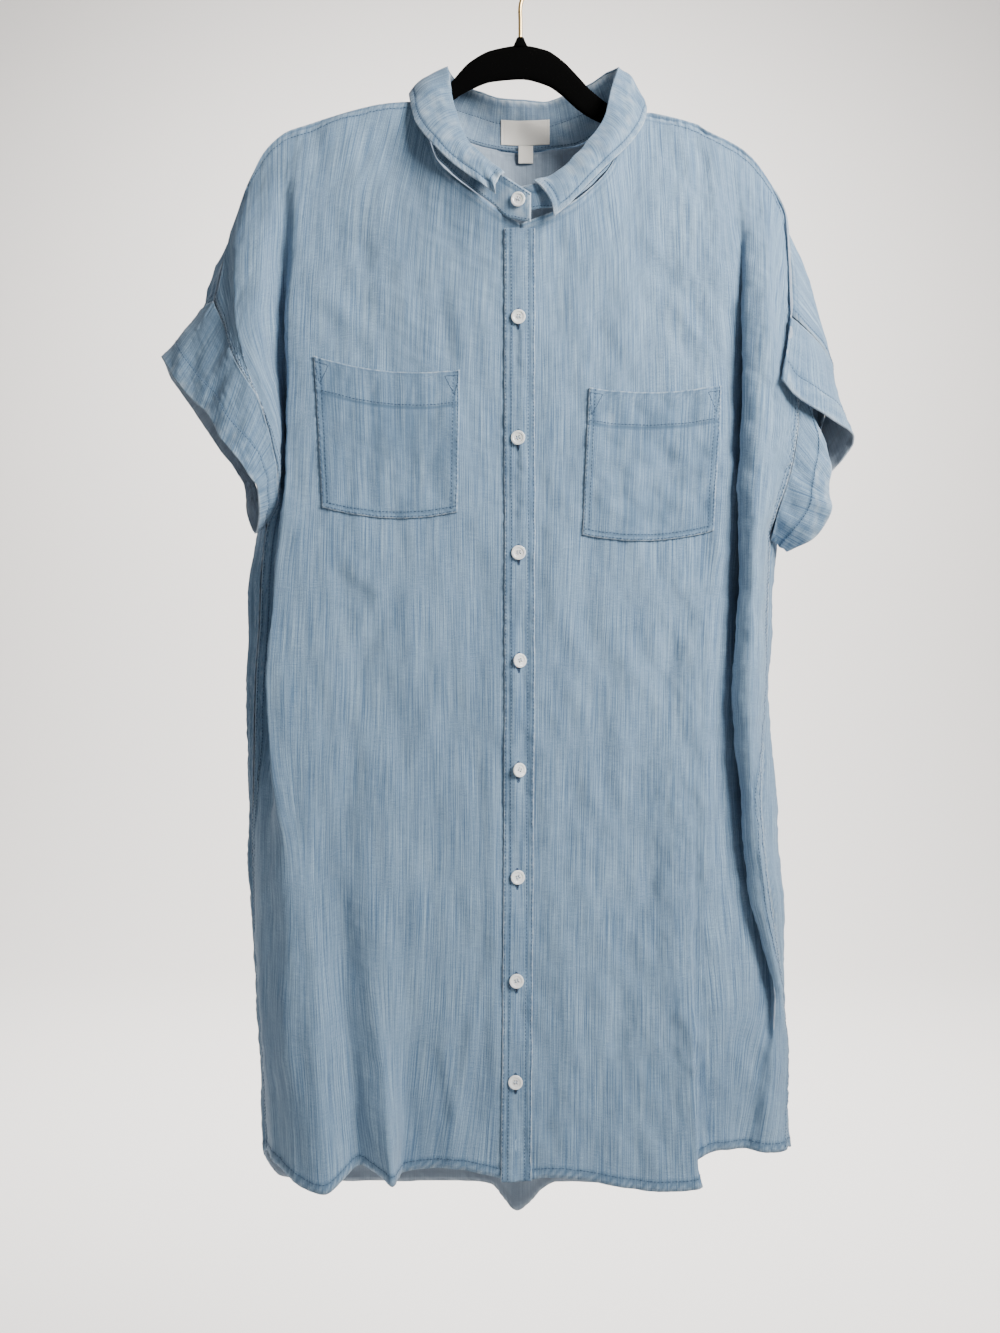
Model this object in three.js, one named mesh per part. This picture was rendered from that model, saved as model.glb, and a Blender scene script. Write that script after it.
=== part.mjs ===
import * as THREE from 'three';

// A short-sleeved shirt dress, size XL, hanging on a slim shoulder hanger.
// Millimetres. The origin is where the hook bears on its rail, +x is to the right seen from
// the front, +y is away from the viewer and +z is up. A drop is a distance below the origin.

// driving dimensions
const clothWall = 1.2;
const seamGap = 0.3;
const layerGap = 0.4;
const placketWidth = 25.4;
const buttonDiameter = 12;
const buttonHeight = 2.4;
const buttonRound = 0.6;
const buttonDish = 0.5;
const buttonSides = 14;
const buttonOffCentre = 1;
const labelWall = 0.8;
const seamReach = 25;
const widestBend = 2.4;
const foldRoom = 1.2;
const hangerThickness = 6;
const hangerEdge = 1.2;
const hookWire = 3.6;
const hookRadius = 22;
const armholeRows = 9;
const skirtRows = 12;
const firstRow = 5;
const hangerReach = 30;
const neckGap = 1.2;
const shoulderFade = 1.6;
const standDrop = 2.2;
const sleeveRows = 3;
const sleeveStart = 5;
const standAcross = 2;
const leafAcross = 4;
const leafRise = 4;
const placketRows = 30;
const placketShort = [3, 1];
const pocketRows = 6;
const pocketColumns = 6;
const mainLabelX = [-21, 23];
const mainLabelDrop = [129, 151];
const sizeLabelX = [-5, 8];
const sizeLabelDrop = [152, 168];
const sizeLabelY = 46.6;
const sizeLabelLean = 0.05;
const hookFoot = -83.7;
const hookSteps = 36;
const hookSides = 4;
const stepsPerFold = 2;
const underarmRight = 496;
const underarmLeft = 509;

// Each fold line runs from the top edge of its panel to the hem. Rows: drop, x, y.
const centreFront = [[250, -5, -39], [262, -5, -36], [311, -5, -32], [395, -5, -32], [495, -5, -33],
  [629, -5, -35], [762, -6, -36], [895, -7, -37], [1047, -8, -38]];

// The wearer's right front, from the centre to the side.
const frontRightFolds = {
  chest: [[224, -41, -36], [245, -43, -33], [311, -47, -30], [395, -50, -31], [495, -50, -33], [629, -48, -35],
    [762, -46, -36], [862, -47, -39], [945, -50, -38], [1036, -62, -34]],
  pocket: [[189, -76, -23], [268, -84, -28], [395, -89, -29], [495, -90, -32], [629, -88, -34],
    [762, -88, -36], [862, -91, -38], [945, -97, -34], [1042, -104, -28]],
  neckPoint: [[133, -97, -1], [250, -118, -24], [395, -122, -28], [495, -124, -31], [629, -123, -33],
    [762, -126, -36], [862, -126, -42], [942, -119, -47], [1046, -110, -51]],
  flute: [[135, -122, -1], [250, -144, -22], [395, -147, -27], [495, -149, -30], [629, -150, -32],
    [762, -155, -34], [862, -153, -33], [947, -147, -32], [1034, -138, -32]],
  outer: [[144, -159, -1], [250, -169, -20], [395, -173, -27], [495, -176, -30], [629, -180, -32],
    [762, -182, -35], [862, -177, -41], [943, -172, -46], [1053, -165, -50]],
  lip: [[154, -189, -2], [223, -193, -17], [309, -198, -23], [395, -200, -26], [495, -203, -29],
    [562, -212, -31], [646, -217, -32], [729, -208, -34], [796, -196, -36], [895, -199, -38], [1047, -190, -42]],
  valley: [[159, -204, -2], [221, -203, -13], [305, -205, -8], [389, -205, -2], [431, -202, 4], [492, -199, 3],
    [578, -202, 1], [664, -209, -1], [732, -214, -12], [798, -215, -22], [900, -217, -20], [1039, -206, -26]],
  crown: [[180, -226, -2], [267, -222, -24], [328, -224, -33], [395, -209, -22], [442, -205, -8],
    [491, -208, 6], [560, -214, 7], [664, -220, 6], [741, -225, -4], [799, -225, -13], [901, -223, -14],
    [1036, -214, -18]],
  ridge: [[225, -245, -3], [274, -246, -20], [320, -244, -32], [359, -234, -37], [396, -214, -33],
    [440, -208, -20], [492, -214, 2], [560, -221, 5], [664, -227, 5], [750, -231, 2], [801, -231, -2],
    [903, -227, -4], [1035, -219, -6]],
};
const armholeFrontRight = [[306, -266, -10], [324, -257, -17], [344, -249, -25], [359, -245, -33],
  [379, -232, -37], [398, -221, -37], [428, -213, -31], [465, -208, -24], [479, -210, -16]];
const sideRight = [[496, -222, -2], [535, -227, 2], [582, -229, 3], [647, -233, 3], [716, -234, 3],
  [768, -236, 9], [821, -235, 12], [908, -230, 14], [1037, -224, 10]];

// The wearer's left front, from the centre to the side.
const frontLeftFolds = {
  chest: [[232, 38, -38], [255, 39, -34], [311, 41, -31], [395, 42, -32], [495, 40, -33], [629, 34, -35],
    [762, 30, -36], [895, 27, -37], [1043, 25, -36]],
  pocket: [[200, 70, -28], [277, 78, -28], [395, 79, -30], [495, 79, -32], [629, 75, -34], [762, 72, -35],
    [895, 70, -37], [1049, 70, -38]],
  neckPoint: [[142, 104, -1], [250, 106, -24], [395, 109, -28], [495, 108, -30], [629, 105, -33],
    [762, 104, -34], [895, 103, -37], [1053, 103, -41]],
  outer: [[147, 129, -1], [250, 132, -22], [395, 133, -27], [495, 131, -30], [629, 127, -32],
    [762, 124, -35], [895, 125, -38], [1052, 128, -43]],
  hemFold: [[151, 143, -1], [250, 146, -20], [395, 145, -27], [495, 143, -29], [629, 139, -32],
    [762, 137, -35], [872, 137, -38], [961, 139, -42], [1049, 143, -43]],
  hemUnder: [[153, 149, -1], [250, 151, -20], [395, 150, -27], [495, 147, -29], [629, 143, -32],
    [762, 142, -34], [873, 140, -33], [965, 138, -28], [1041, 139, -22]],
  lip: [[157, 154, -2], [223, 161, -18], [309, 162, -24], [394, 168, -25], [508, 164, -28], [562, 157, -30],
    [646, 152, -32], [729, 150, -34], [813, 150, -35], [867, 154, -33], [940, 160, -26], [1028, 162, -16]],
  valley: [[169, 178, -2], [239, 182, -15], [305, 187, -8], [389, 190, -1], [474, 191, 3], [578, 191, 5],
    [664, 191, 4], [750, 196, 2], [827, 206, -2], [881, 211, -9], [943, 202, -18], [1029, 187, -9]],
  edge: [[177, 190, -2], [248, 188, -18], [309, 186, -24], [378, 182, -28], [470, 180, -29], [579, 176, -29],
    [663, 175, -29], [730, 180, -29], [806, 189, -27], [861, 201, -23], [908, 210, -21], [951, 208, -20],
    [1030, 199, -14]],
  crown: [[195, 205, -2], [268, 203, -26], [321, 202, -35], [397, 198, -40], [480, 191, -42], [579, 187, -42],
    [679, 186, -41], [746, 188, -38], [813, 197, -33], [869, 209, -27], [917, 217, -19], [961, 217, -13],
    [1031, 212, -11]],
  brim: [[237, 224, -8], [280, 214, -24], [325, 208, -32], [397, 214, -36], [480, 206, -34], [509, 202, -27],
    [579, 200, -28], [679, 194, -35], [746, 193, -38], [813, 201, -33], [869, 213, -23], [917, 221, -12],
    [961, 222, -7], [1031, 219, -8]],
};
const armholeFrontLeft = [[325, 223, -30], [348, 223, -29], [377, 228, -26], [402, 230, -25], [436, 227, -24],
  [473, 218, -20], [493, 212, -12]];
const sideLeft = [[509, 210, -2], [561, 208, -4], [638, 204, -12], [684, 199, -26], [725, 196, -35],
  [767, 199, -34], [813, 205, -30], [867, 215, -17], [894, 220, -7], [948, 224, 0], [1030, 225, -2]];

// The back, from the wearer's right to the left.
const armholeBackRight = [[306, -266, -10], [310, -279, 4], [329, -280, 15], [367, -270, 21], [411, -253, 22],
  [455, -236, 18]];
const armholeBackLeft = [[325, 223, -30], [333, 235, -25], [344, 256, -6], [373, 266, 12], [411, 260, 22],
  [463, 243, 22]];
const backFolds = {
  outRight: [[245, -248, -3], [279, -268, 8], [315, -281, 19], [357, -273, 27], [409, -250, 31],
    [455, -233, 27], [499, -233, 17], [530, -238, 11], [560, -239, 10], [638, -242, 10], [699, -239, 11], [752, -239, 15],
    [822, -238, 19], [910, -234, 22], [1044, -227, 20]],
  turnRight: [[178, -227, 2], [228, -238, 18], [286, -254, 28], [347, -255, 34], [408, -243, 36],
    [470, -232, 34], [559, -231, 28], [665, -233, 28], [807, -230, 32], [913, -225, 33], [1069, -215, 34]],
  bladeRight: [[148, -168, 1], [255, -174, 16], [384, -178, 24], [559, -178, 26], [736, -175, 28],
    [912, -172, 30], [1071, -172, 30]],
  neckPointRight: [[133, -97, 1], [192, -105, 20], [296, -108, 26], [471, -108, 27], [735, -108, 27],
    [911, -108, 27], [1070, -109, 26]],
  yokeRight: [[152, -50, 38], [223, -52, 32], [383, -51, 28], [559, -51, 26], [735, -51, 25], [911, -50, 24],
    [1068, -48, 22]],
  pleatRight: [[156, -23, 47], [222, -23, 36], [383, -23, 28], [647, -24, 26], [911, -26, 24], [1070, -28, 18]],
  centreBack: [[157, -3, 50], [221, -3, 38], [383, -4, 29], [647, -5, 26], [910, -6, 20], [1086, -7, 0]],
  pleatLeft: [[156, 19, 48], [222, 18, 36], [383, 15, 28], [647, 15, 26], [911, 14, 24], [1074, 14, 16]],
  yokeLeft: [[155, 48, 41], [223, 45, 32], [383, 42, 28], [559, 40, 26], [735, 38, 25], [911, 33, 25],
    [1070, 28, 24]],
  neckPointLeft: [[141, 104, 1], [192, 110, 20], [296, 110, 26], [471, 110, 26], [735, 109, 26],
    [911, 102, 27], [1073, 93, 27]],
  bladeLeft: [[156, 154, 1], [255, 163, 16], [384, 165, 24], [559, 160, 26], [735, 158, 26], [912, 160, 28],
    [1048, 160, 30]],
  turnLeft: [[194, 206, 2], [229, 219, 14], [279, 233, 24], [335, 247, 30], [408, 246, 36], [461, 232, 36],
    [511, 219, 30], [577, 211, 26], [665, 208, 24], [752, 213, 22], [841, 219, 26], [921, 223, 30],
    [1034, 225, 34]],
  outLeft: [[239, 220, -10], [265, 235, -4], [302, 250, 3], [340, 257, 11], [372, 261, 22], [414, 254, 30],
    [462, 238, 29], [508, 218, 15], [560, 213, 8], [638, 210, 3], [685, 211, -4], [732, 214, -9],
    [783, 218, -9], [835, 222, -5], [884, 223, 3], [942, 227, 10], [1033, 228, 8]],
};

// The sleeve openings. Rows: share of the way from shoulder to underarm, drop, x, y.
const openings = {
  rightFront: [[0, 366, -303, -8], [0.1, 386, -289, -18], [0.2, 402, -270, -25], [0.28, 415, -260, -33],
    [0.38, 432, -252, -40], [0.48, 445, -239, -42], [0.64, 459, -230, -39], [0.84, 473, -223, -36],
    [0.92, 489, -223, -28], [1, 504, -230, -12]],
  rightBack: [[0, 366, -303, -8], [0.02, 350, -314, 6], [0.12, 360, -312, 20], [0.32, 388, -294, 23],
    [0.55, 429, -266, 18], [0.78, 461, -244, 14], [0.9, 489, -239, 2], [1, 504, -230, -12]],
  leftFront: [[0, 380, 213, -40], [0.13, 392, 240, -22], [0.28, 415, 246, -17], [0.42, 442, 260, -14],
    [0.6, 467, 257, -18], [0.8, 486, 259, -22], [0.91, 511, 243, -15], [1, 519, 225, 0]],
  leftBack: [[0, 380, 213, -40], [0.02, 390, 221, -39], [0.1, 415, 259, -25], [0.16, 420, 284, -4],
    [0.3, 432, 279, 4], [0.55, 456, 263, 20], [0.8, 478, 256, 19], [0.92, 503, 245, 13], [1, 519, 225, 0]],
};

// The collar stand and leaf, from the right end round the neck to the left end.
// Rows: drop, x and y of the neck seam, then of the fold at the top, then of the leaf's edge.
const collarRows = [
  { seam: [246, -16, -41], fold: [209, -17, -41], edge: [229, -25, -50] },
  { seam: [224, -41, -36], fold: [192, -35, -31], edge: [217, -40, -47] },
  { seam: [209, -58, -31], fold: [176, -48, -25], edge: [202, -59, -42] },
  { seam: [189, -76, -23], fold: [157, -56, -18], edge: [181, -78, -34] },
  { seam: [157, -92, -11], fold: [131, -62, -9], edge: [155, -94, -18] },
  { seam: [132, -95, 0], fold: [104, -65, 2], edge: [124, -100, 5] },
  { seam: [138, -89, 14], fold: [105, -61, 16], edge: [126, -95, 24] },
  { seam: [147, -74, 24], fold: [107, -53, 26], edge: [136, -84, 42] },
  { seam: [152, -50, 38], fold: [107, -37, 38], edge: [150, -58, 57] },
  { seam: [156, -26, 47], fold: [109, -22, 45], edge: [158, -30, 63] },
  { seam: [157, -3, 50], fold: [109, -3, 48], edge: [160, -2, 65] },
  { seam: [156, 22, 48], fold: [112, 19, 46], edge: [158, 27, 63] },
  { seam: [155, 45, 41], fold: [109, 36, 39], edge: [151, 55, 56] },
  { seam: [152, 75, 26], fold: [105, 58, 24], edge: [137, 84, 42] },
  { seam: [150, 93, 12], fold: [100, 71, 14], edge: [130, 101, 24] },
  { seam: [144, 101, 0], fold: [102, 79, 3], edge: [135, 105, 6] },
  { seam: [160, 99, -8], fold: [124, 73, -9], edge: [155, 101, -13] },
  { seam: [183, 87, -20], fold: [151, 67, -19], edge: [181, 86, -29] },
  { seam: [200, 70, -28], fold: [172, 56, -27], edge: [201, 68, -40] },
  { seam: [218, 54, -34], fold: [194, 39, -34], edge: [223, 48, -46] },
  { seam: [232, 38, -38], fold: [208, 25, -38], edge: [238, 35, -50] },
  { seam: [239, 12, -41], fold: [216, 6, -43], edge: [248, 23, -52] },
];
const standEndRight = { seam: [252, 4, -46], fold: [225, 4, -47] };
const standEndLeft = { seam: [243, -12, -36], fold: [218, -11, -36] };

// The chest pockets, corners from the top centre round. Rows: drop, x.
const pockets = {
  right: { inner: [[370, -55], [489, -57]], outer: [[357, -178], [485, -170]], sag: 7, bottomSag: 7 },
  left: { inner: [[385, 53], [508, 47]], outer: [[382, 164], [504, 158]], sag: 5, bottomSag: 7 },
};
const buttonDrops = [232, 326, 427, 523, 613, 704, 793, 879, 963];

// The hanger's outline, along the top from the right arm to the left. Rows: drop of top, x, drop of bottom.
const hangerOutline = [[187, -220, 198], [170, -206, 186], [160, -189, 178], [150, -159, 171], [141, -123, 164],
  [142, -98, 158], [138, -88, 154], [127, -73, 142], [114, -62, 131], [98, -47, 122], [88, -28, 115], [84, -3, 113],
  [88, 18, 118], [97, 32, 127], [109, 44, 138], [122, 56, 146], [134, 71, 153], [151, 102, 166],
  [154, 130, 174], [165, 158, 186], [181, 185, 201], [198, 202, 212]];

const materials = {
  chambray: new THREE.MeshStandardMaterial({ color: 0x8fa9c4, roughness: 0.9, side: THREE.DoubleSide }),
  button: new THREE.MeshStandardMaterial({ color: 0xe4e2de, roughness: 0.35 }),
  label: new THREE.MeshStandardMaterial({ color: 0xe6dfd0, roughness: 0.85 }),
  velvet: new THREE.MeshStandardMaterial({ color: 0x17171a, roughness: 1 }),
  hook: new THREE.MeshStandardMaterial({ color: 0xc9a35c, roughness: 0.3, metalness: 1 }),
};

const dress = new THREE.Group();

function addPart(name, geometry, material) {
  geometry.computeVertexNormals();
  const mesh = new THREE.Mesh(geometry, material);
  mesh.name = name;
  dress.add(mesh);
  return mesh;
}

// A smooth curve through table rows that never swings past them: a cubic between each two
// rows, level where the values turn.
function smoothCurve(stations, values) {
  const count = stations.length;
  const slopes = [];
  for (let i = 0; i < count - 1; i += 1) {
    slopes.push((values[i + 1] - values[i]) / (stations[i + 1] - stations[i]));
  }
  const tangents = values.map((value, i) => {
    if (i === 0) return slopes[0];
    if (i === count - 1) return slopes[count - 2];
    if (slopes[i - 1] * slopes[i] <= 0) return 0;
    return 2 * slopes[i - 1] * slopes[i] / (slopes[i - 1] + slopes[i]);
  });
  return (station) => {
    let i = 0;
    while (i < count - 2 && station > stations[i + 1]) i += 1;
    const width = stations[i + 1] - stations[i];
    const t = Math.min(Math.max((station - stations[i]) / width, 0), 1);
    const t2 = t * t;
    const t3 = t2 * t;
    return (2 * t3 - 3 * t2 + 1) * values[i] + (t3 - 2 * t2 + t) * width * tangents[i]
      + (3 * t2 - 2 * t3) * values[i + 1] + (t3 - t2) * width * tangents[i + 1];
  };
}

function point(drop, x, y) {
  return new THREE.Vector3(x, y, -drop);
}

// The drops of a fold line's rows: the top edge, a row just below it, then even steps to the
// underarm and on to the hem.
function rowDrops(top, underarm, hem) {
  const drops = [top];
  for (let i = 0; i <= armholeRows; i += 1) {
    drops.push(top + firstRow + (underarm - top - firstRow) * i / armholeRows);
  }
  for (let i = 1; i <= skirtRows; i += 1) drops.push(underarm + (hem - underarm) * i / skirtRows);
  return drops;
}

function foldLine(rows, underarm) {
  const drops = rows.map((row) => row[0]);
  const x = smoothCurve(drops, rows.map((row) => row[1]));
  const y = smoothCurve(drops, rows.map((row) => row[2]));
  return rowDrops(drops[0], underarm, drops[drops.length - 1]).map((drop) => point(drop, x(drop), y(drop)));
}

// A smooth row of points through one point on each fold line, with steps between each two.
function acrossFolds(points, steps) {
  const along = [0];
  for (let i = 1; i < points.length; i += 1) along.push(along[i - 1] + points[i].distanceTo(points[i - 1]));
  const curves = ['x', 'y', 'z'].map((axis) => smoothCurve(along, points.map((p) => p[axis])));
  const row = [];
  for (let i = 0; i < points.length - 1; i += 1) {
    for (let s = 0; s < steps; s += 1) {
      const station = along[i] + (along[i + 1] - along[i]) * s / steps;
      row.push(new THREE.Vector3(...curves.map((curve) => curve(station))));
    }
  }
  row.push(points[points.length - 1].clone());
  return row;
}

// A panel's grid of points from its fold lines, row by row from the top edge to the hem.
function panelGrid(folds, underarmFirst, underarmLast = underarmFirst) {
  const lines = folds.map((rows, k) => {
    const share = k / (folds.length - 1);
    return foldLine(rows, underarmFirst + (underarmLast - underarmFirst) * share);
  });
  return lines[0].map((_, i) => acrossFolds(lines.map((line) => line[i]), stepsPerFold));
}

// Cloth that lies over the hanger's arm stands off far enough to clear it, from the neck
// point out to the arm's tip.
function clearHanger(grid, side, from, to) {
  const standOff = hangerThickness / 2 + layerGap + clothWall / 2;
  const tops = grid[0].map((p) => p.z);
  grid.forEach((row) => {
    row.forEach((p, j) => {
      const below = tops[j] - p.z;
      if (j < from || j > to || below > hangerReach) return;
      const atSeam = Math.exp(-below / shoulderFade);
      const least = standOff * (1 - atSeam) + (clothWall + layerGap) / 2 * atSeam;
      p.y = side * Math.max(side * p.y, least);
    });
  });
}

// The unit normals of a grid, from the neighbours of each point.
function gridNormals(grid, ring) {
  const rows = grid.length;
  const columns = grid[0].length;
  const normals = [];
  for (let i = 0; i < rows; i += 1) {
    const line = [];
    for (let j = 0; j < columns; j += 1) {
      const down = grid[Math.min(i + 1, rows - 1)][j].clone().sub(grid[Math.max(i - 1, 0)][j]);
      const next = ring ? (j + 1) % columns : Math.min(j + 1, columns - 1);
      const last = ring ? (j + columns - 1) % columns : Math.max(j - 1, 0);
      const across = grid[i][next].clone().sub(grid[i][last]);
      line.push(across.cross(down).normalize());
    }
    normals.push(line);
  }
  return normals;
}

function makeSheet(grid, { ring = false } = {}) {
  return { grid, ring, normals: gridNormals(grid, ring) };
}

// An edge of a sheet as an ordered list, each point with the direction that leads from it into
// the sheet, square to the edge.
function sheetEdge(sheet, places, innerOf, closed = false) {
  const points = places.map(([i, j]) => sheet.grid[i][j].clone());
  return places.map(([i, j], k) => {
    const next = closed ? (k + 1) % places.length : Math.min(k + 1, places.length - 1);
    const last = closed ? (k + places.length - 1) % places.length : Math.max(k - 1, 0);
    const along = points[next].clone().sub(points[last]).normalize();
    const [ii, jj] = innerOf(i, j);
    const inward = sheet.grid[ii][jj].clone().sub(points[k]);
    inward.addScaledVector(along, -inward.dot(along)).normalize();
    return { i, j, p: points[k], inward, sheet };
  });
}

// Moves an edge's points back from the seam by half the gap, and further where the pieces
// fold against each other, so that their walls stay clear.
function pullBack(edge, others) {
  edge.forEach(({ i, j, p, inward, sheet }) => {
    const nearest = new Map();
    others.forEach((end) => {
      const apart = end.p.distanceTo(p);
      const known = nearest.get(end.sheet);
      if (apart < seamReach && (known === undefined || apart < known.apart)) nearest.set(end.sheet, { apart, end });
    });
    let distance = seamGap / 2;
    nearest.forEach(({ end }) => {
      const bend = Math.min(Math.PI - inward.angleTo(end.inward), widestBend);
      distance = Math.max(distance, seamGap / 2 + foldRoom * clothWall / 2 * Math.tan(bend / 2));
    });
    sheet.grid[i][j].addScaledVector(inward, distance);
  });
}

// A closed wall of even thickness about a sheet, its surfaces either side of the grid.
function wall(sheet, thickness) {
  const { grid, normals, ring } = sheet;
  const rows = grid.length;
  const columns = grid[0].length;
  const positions = [];
  [0.5, -0.5].forEach((side) => {
    grid.forEach((row, i) => {
      row.forEach((p, j) => {
        const q = p.clone().addScaledVector(normals[i][j], side * thickness);
        positions.push(q.x, q.y, q.z);
      });
    });
  });
  const outer = (i, j) => i * columns + (j % columns);
  const inner = (i, j) => rows * columns + outer(i, j);
  const indices = [];
  const quad = (a, b, c, d) => indices.push(a, b, c, a, c, d);
  const lastColumn = ring ? columns : columns - 1;
  for (let i = 0; i < rows - 1; i += 1) {
    for (let j = 0; j < lastColumn; j += 1) {
      quad(outer(i, j), outer(i, j + 1), outer(i + 1, j + 1), outer(i + 1, j));
      quad(inner(i, j), inner(i + 1, j), inner(i + 1, j + 1), inner(i, j + 1));
    }
  }
  for (let j = 0; j < lastColumn; j += 1) {
    quad(outer(0, j), inner(0, j), inner(0, j + 1), outer(0, j + 1));
    quad(outer(rows - 1, j), outer(rows - 1, j + 1), inner(rows - 1, j + 1), inner(rows - 1, j));
  }
  if (!ring) {
    for (let i = 0; i < rows - 1; i += 1) {
      quad(outer(i, 0), outer(i + 1, 0), inner(i + 1, 0), inner(i, 0));
      quad(outer(i, columns - 1), inner(i, columns - 1), inner(i + 1, columns - 1), outer(i + 1, columns - 1));
    }
  }
  const geometry = new THREE.BufferGeometry();
  geometry.setAttribute('position', new THREE.Float32BufferAttribute(positions, 3));
  geometry.setIndex(indices);
  if (signedVolume(geometry) < 0) {
    for (let k = 0; k < indices.length; k += 3) [indices[k], indices[k + 1]] = [indices[k + 1], indices[k]];
    geometry.setIndex(indices);
  }
  return geometry;
}

function signedVolume(geometry) {
  const position = geometry.getAttribute('position');
  const index = geometry.getIndex();
  const corner = (k) => new THREE.Vector3().fromBufferAttribute(position, index.getX(k));
  let volume = 0;
  for (let k = 0; k < index.count; k += 3) volume += corner(k).dot(corner(k + 1).cross(corner(k + 2))) / 6;
  return volume;
}

// The place on a sheet seen from the front at x and a drop: its depth, and its normal turned
// to the side that is asked for. Of two layers, the one furthest to that side counts.
function spotOn(sheets, x, drop, side) {
  let found = null;
  let nearest = null;
  sheets.forEach(({ grid, normals }) => {
    const visit = (a, b, c, na, nb, nc) => {
      const area = (b.x - a.x) * (c.z - a.z) - (c.x - a.x) * (b.z - a.z);
      if (Math.abs(area) < 1e-6) return;
      const v = ((x - a.x) * (c.z - a.z) - (c.x - a.x) * (-drop - a.z)) / area;
      const w = ((b.x - a.x) * (-drop - a.z) - (x - a.x) * (b.z - a.z)) / area;
      const u = 1 - v - w;
      const y = u * a.y + v * b.y + w * c.y;
      const normal = na.clone().multiplyScalar(u).addScaledVector(nb, v).addScaledVector(nc, w).normalize();
      const outside = Math.max(-u, -v, -w, 0);
      if (outside < 1e-6) {
        if (found === null || side * y > side * found.y) found = { y, normal };
      } else if (nearest === null || outside < nearest.outside) {
        nearest = { outside, y, normal };
      }
    };
    for (let i = 0; i < grid.length - 1; i += 1) {
      for (let j = 0; j < grid[0].length - 1; j += 1) {
        const corners = [[i, j], [i, j + 1], [i + 1, j + 1], [i + 1, j]];
        const p = corners.map(([a, b]) => grid[a][b]);
        const n = corners.map(([a, b]) => normals[a][b]);
        visit(p[0], p[1], p[2], n[0], n[1], n[2]);
        visit(p[0], p[2], p[3], n[0], n[2], n[3]);
      }
    }
  });
  const spot = found ?? nearest;
  const normal = spot.normal.clone();
  if (normal.y * side < 0) normal.negate();
  return { place: new THREE.Vector3(x, spot.y, -drop), normal };
}

// A patch that lies on sheets: each of its points is a point of theirs, moved out.
function patchGrid(sheets, corners, out, side) {
  return corners.map((row) => row.map(([x, drop]) => {
    const { place, normal } = spotOn(sheets, x, drop, side);
    return place.addScaledVector(normal, out);
  }));
}

// the body
const frontRight = makeSheet(panelGrid([centreFront, ...Object.values(frontRightFolds),
  [...armholeFrontRight, ...sideRight]], underarmRight));
const frontLeft = makeSheet(panelGrid([centreFront, ...Object.values(frontLeftFolds),
  [...armholeFrontLeft, ...sideLeft]], underarmLeft));
const back = makeSheet(panelGrid([[...armholeBackRight, ...sideRight], ...Object.values(backFolds),
  [...armholeBackLeft, ...sideLeft]], underarmRight, underarmLeft));

const seamRows = armholeRows + 2;
const lastRow = frontRight.grid.length - 1;
const lastRight = frontRight.grid[0].length - 1;
const lastLeft = frontLeft.grid[0].length - 1;
const lastBack = back.grid[0].length - 1;
const frontNeck = 3 * stepsPerFold;
const backNeckRight = 4 * stepsPerFold;
const backNeckLeft = lastBack - 4 * stepsPerFold;

// The back takes the shoulder seam's line from the fronts' top edges: by x over the hanger, and
// by drop beyond its tip, where the seam runs down.
function followShoulder(frontGrid, from, to, tip, backFrom, backTo) {
  const seam = frontGrid[0].slice(from, to + 1);
  for (let j = backFrom; j <= backTo; j += 1) {
    const p = back.grid[0][j];
    const beyondTip = Math.abs(p.x) > Math.abs(frontGrid[0][tip].x) && p.z < frontGrid[0][tip].z;
    const measure = beyondTip ? (q) => -q.z : (q) => Math.abs(q.x);
    let k = 0;
    while (k < seam.length - 2 && measure(seam[k + 1]) < measure(p)) k += 1;
    const width = measure(seam[k + 1]) - measure(seam[k]);
    const share = THREE.MathUtils.clamp((measure(p) - measure(seam[k])) / width, 0, 1);
    p.lerpVectors(seam[k], seam[k + 1], share);
  }
}
const tipRight = lastRight - 2 * stepsPerFold;
const tipLeft = lastLeft - 2 * stepsPerFold;
followShoulder(frontRight.grid, frontNeck, lastRight, tipRight, 0, backNeckRight);
followShoulder(frontLeft.grid, frontNeck, lastLeft, tipLeft, backNeckLeft, lastBack);

// Over the hanger the shoulder seam's two edges lie back to back, a layer's gap apart, and
// beyond its tips the back's edge stands off outward too.
const shoulderShift = (clothWall + layerGap) / 2;
const backTip = 2 * stepsPerFold;
back.grid[0].forEach((p, j) => { if (j < backNeckRight || j > backNeckLeft) p.y += shoulderShift; });
[[frontRight, tipRight], [frontLeft, tipLeft]].forEach(([front, tip]) => {
  front.grid[0].forEach((p, j) => {
    if (j > frontNeck) p.y -= shoulderShift;
    if (j > tip) p.x -= Math.sign(p.x) * shoulderShift;
  });
});
[[1, backTip], [lastBack - backTip, lastBack - 1]].forEach(([from, to]) => {
  for (let j = from; j <= to; j += 1) {
    const p = back.grid[0][j];
    if (j !== backTip && j !== lastBack - backTip) p.x += Math.sign(p.x) * shoulderShift;
  }
});
clearHanger(frontRight.grid, -1, frontNeck, tipRight);
clearHanger(frontLeft.grid, -1, frontNeck, tipLeft);
clearHanger(back.grid, 1, backTip, backNeckRight);
clearHanger(back.grid, 1, backNeckLeft, lastBack - backTip);

// The fronts stop either side of the centre line.
frontRight.grid.forEach((row) => { row[0].x -= seamGap / 2; });
frontLeft.grid.forEach((row) => { row[0].x += seamGap / 2; });

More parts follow.
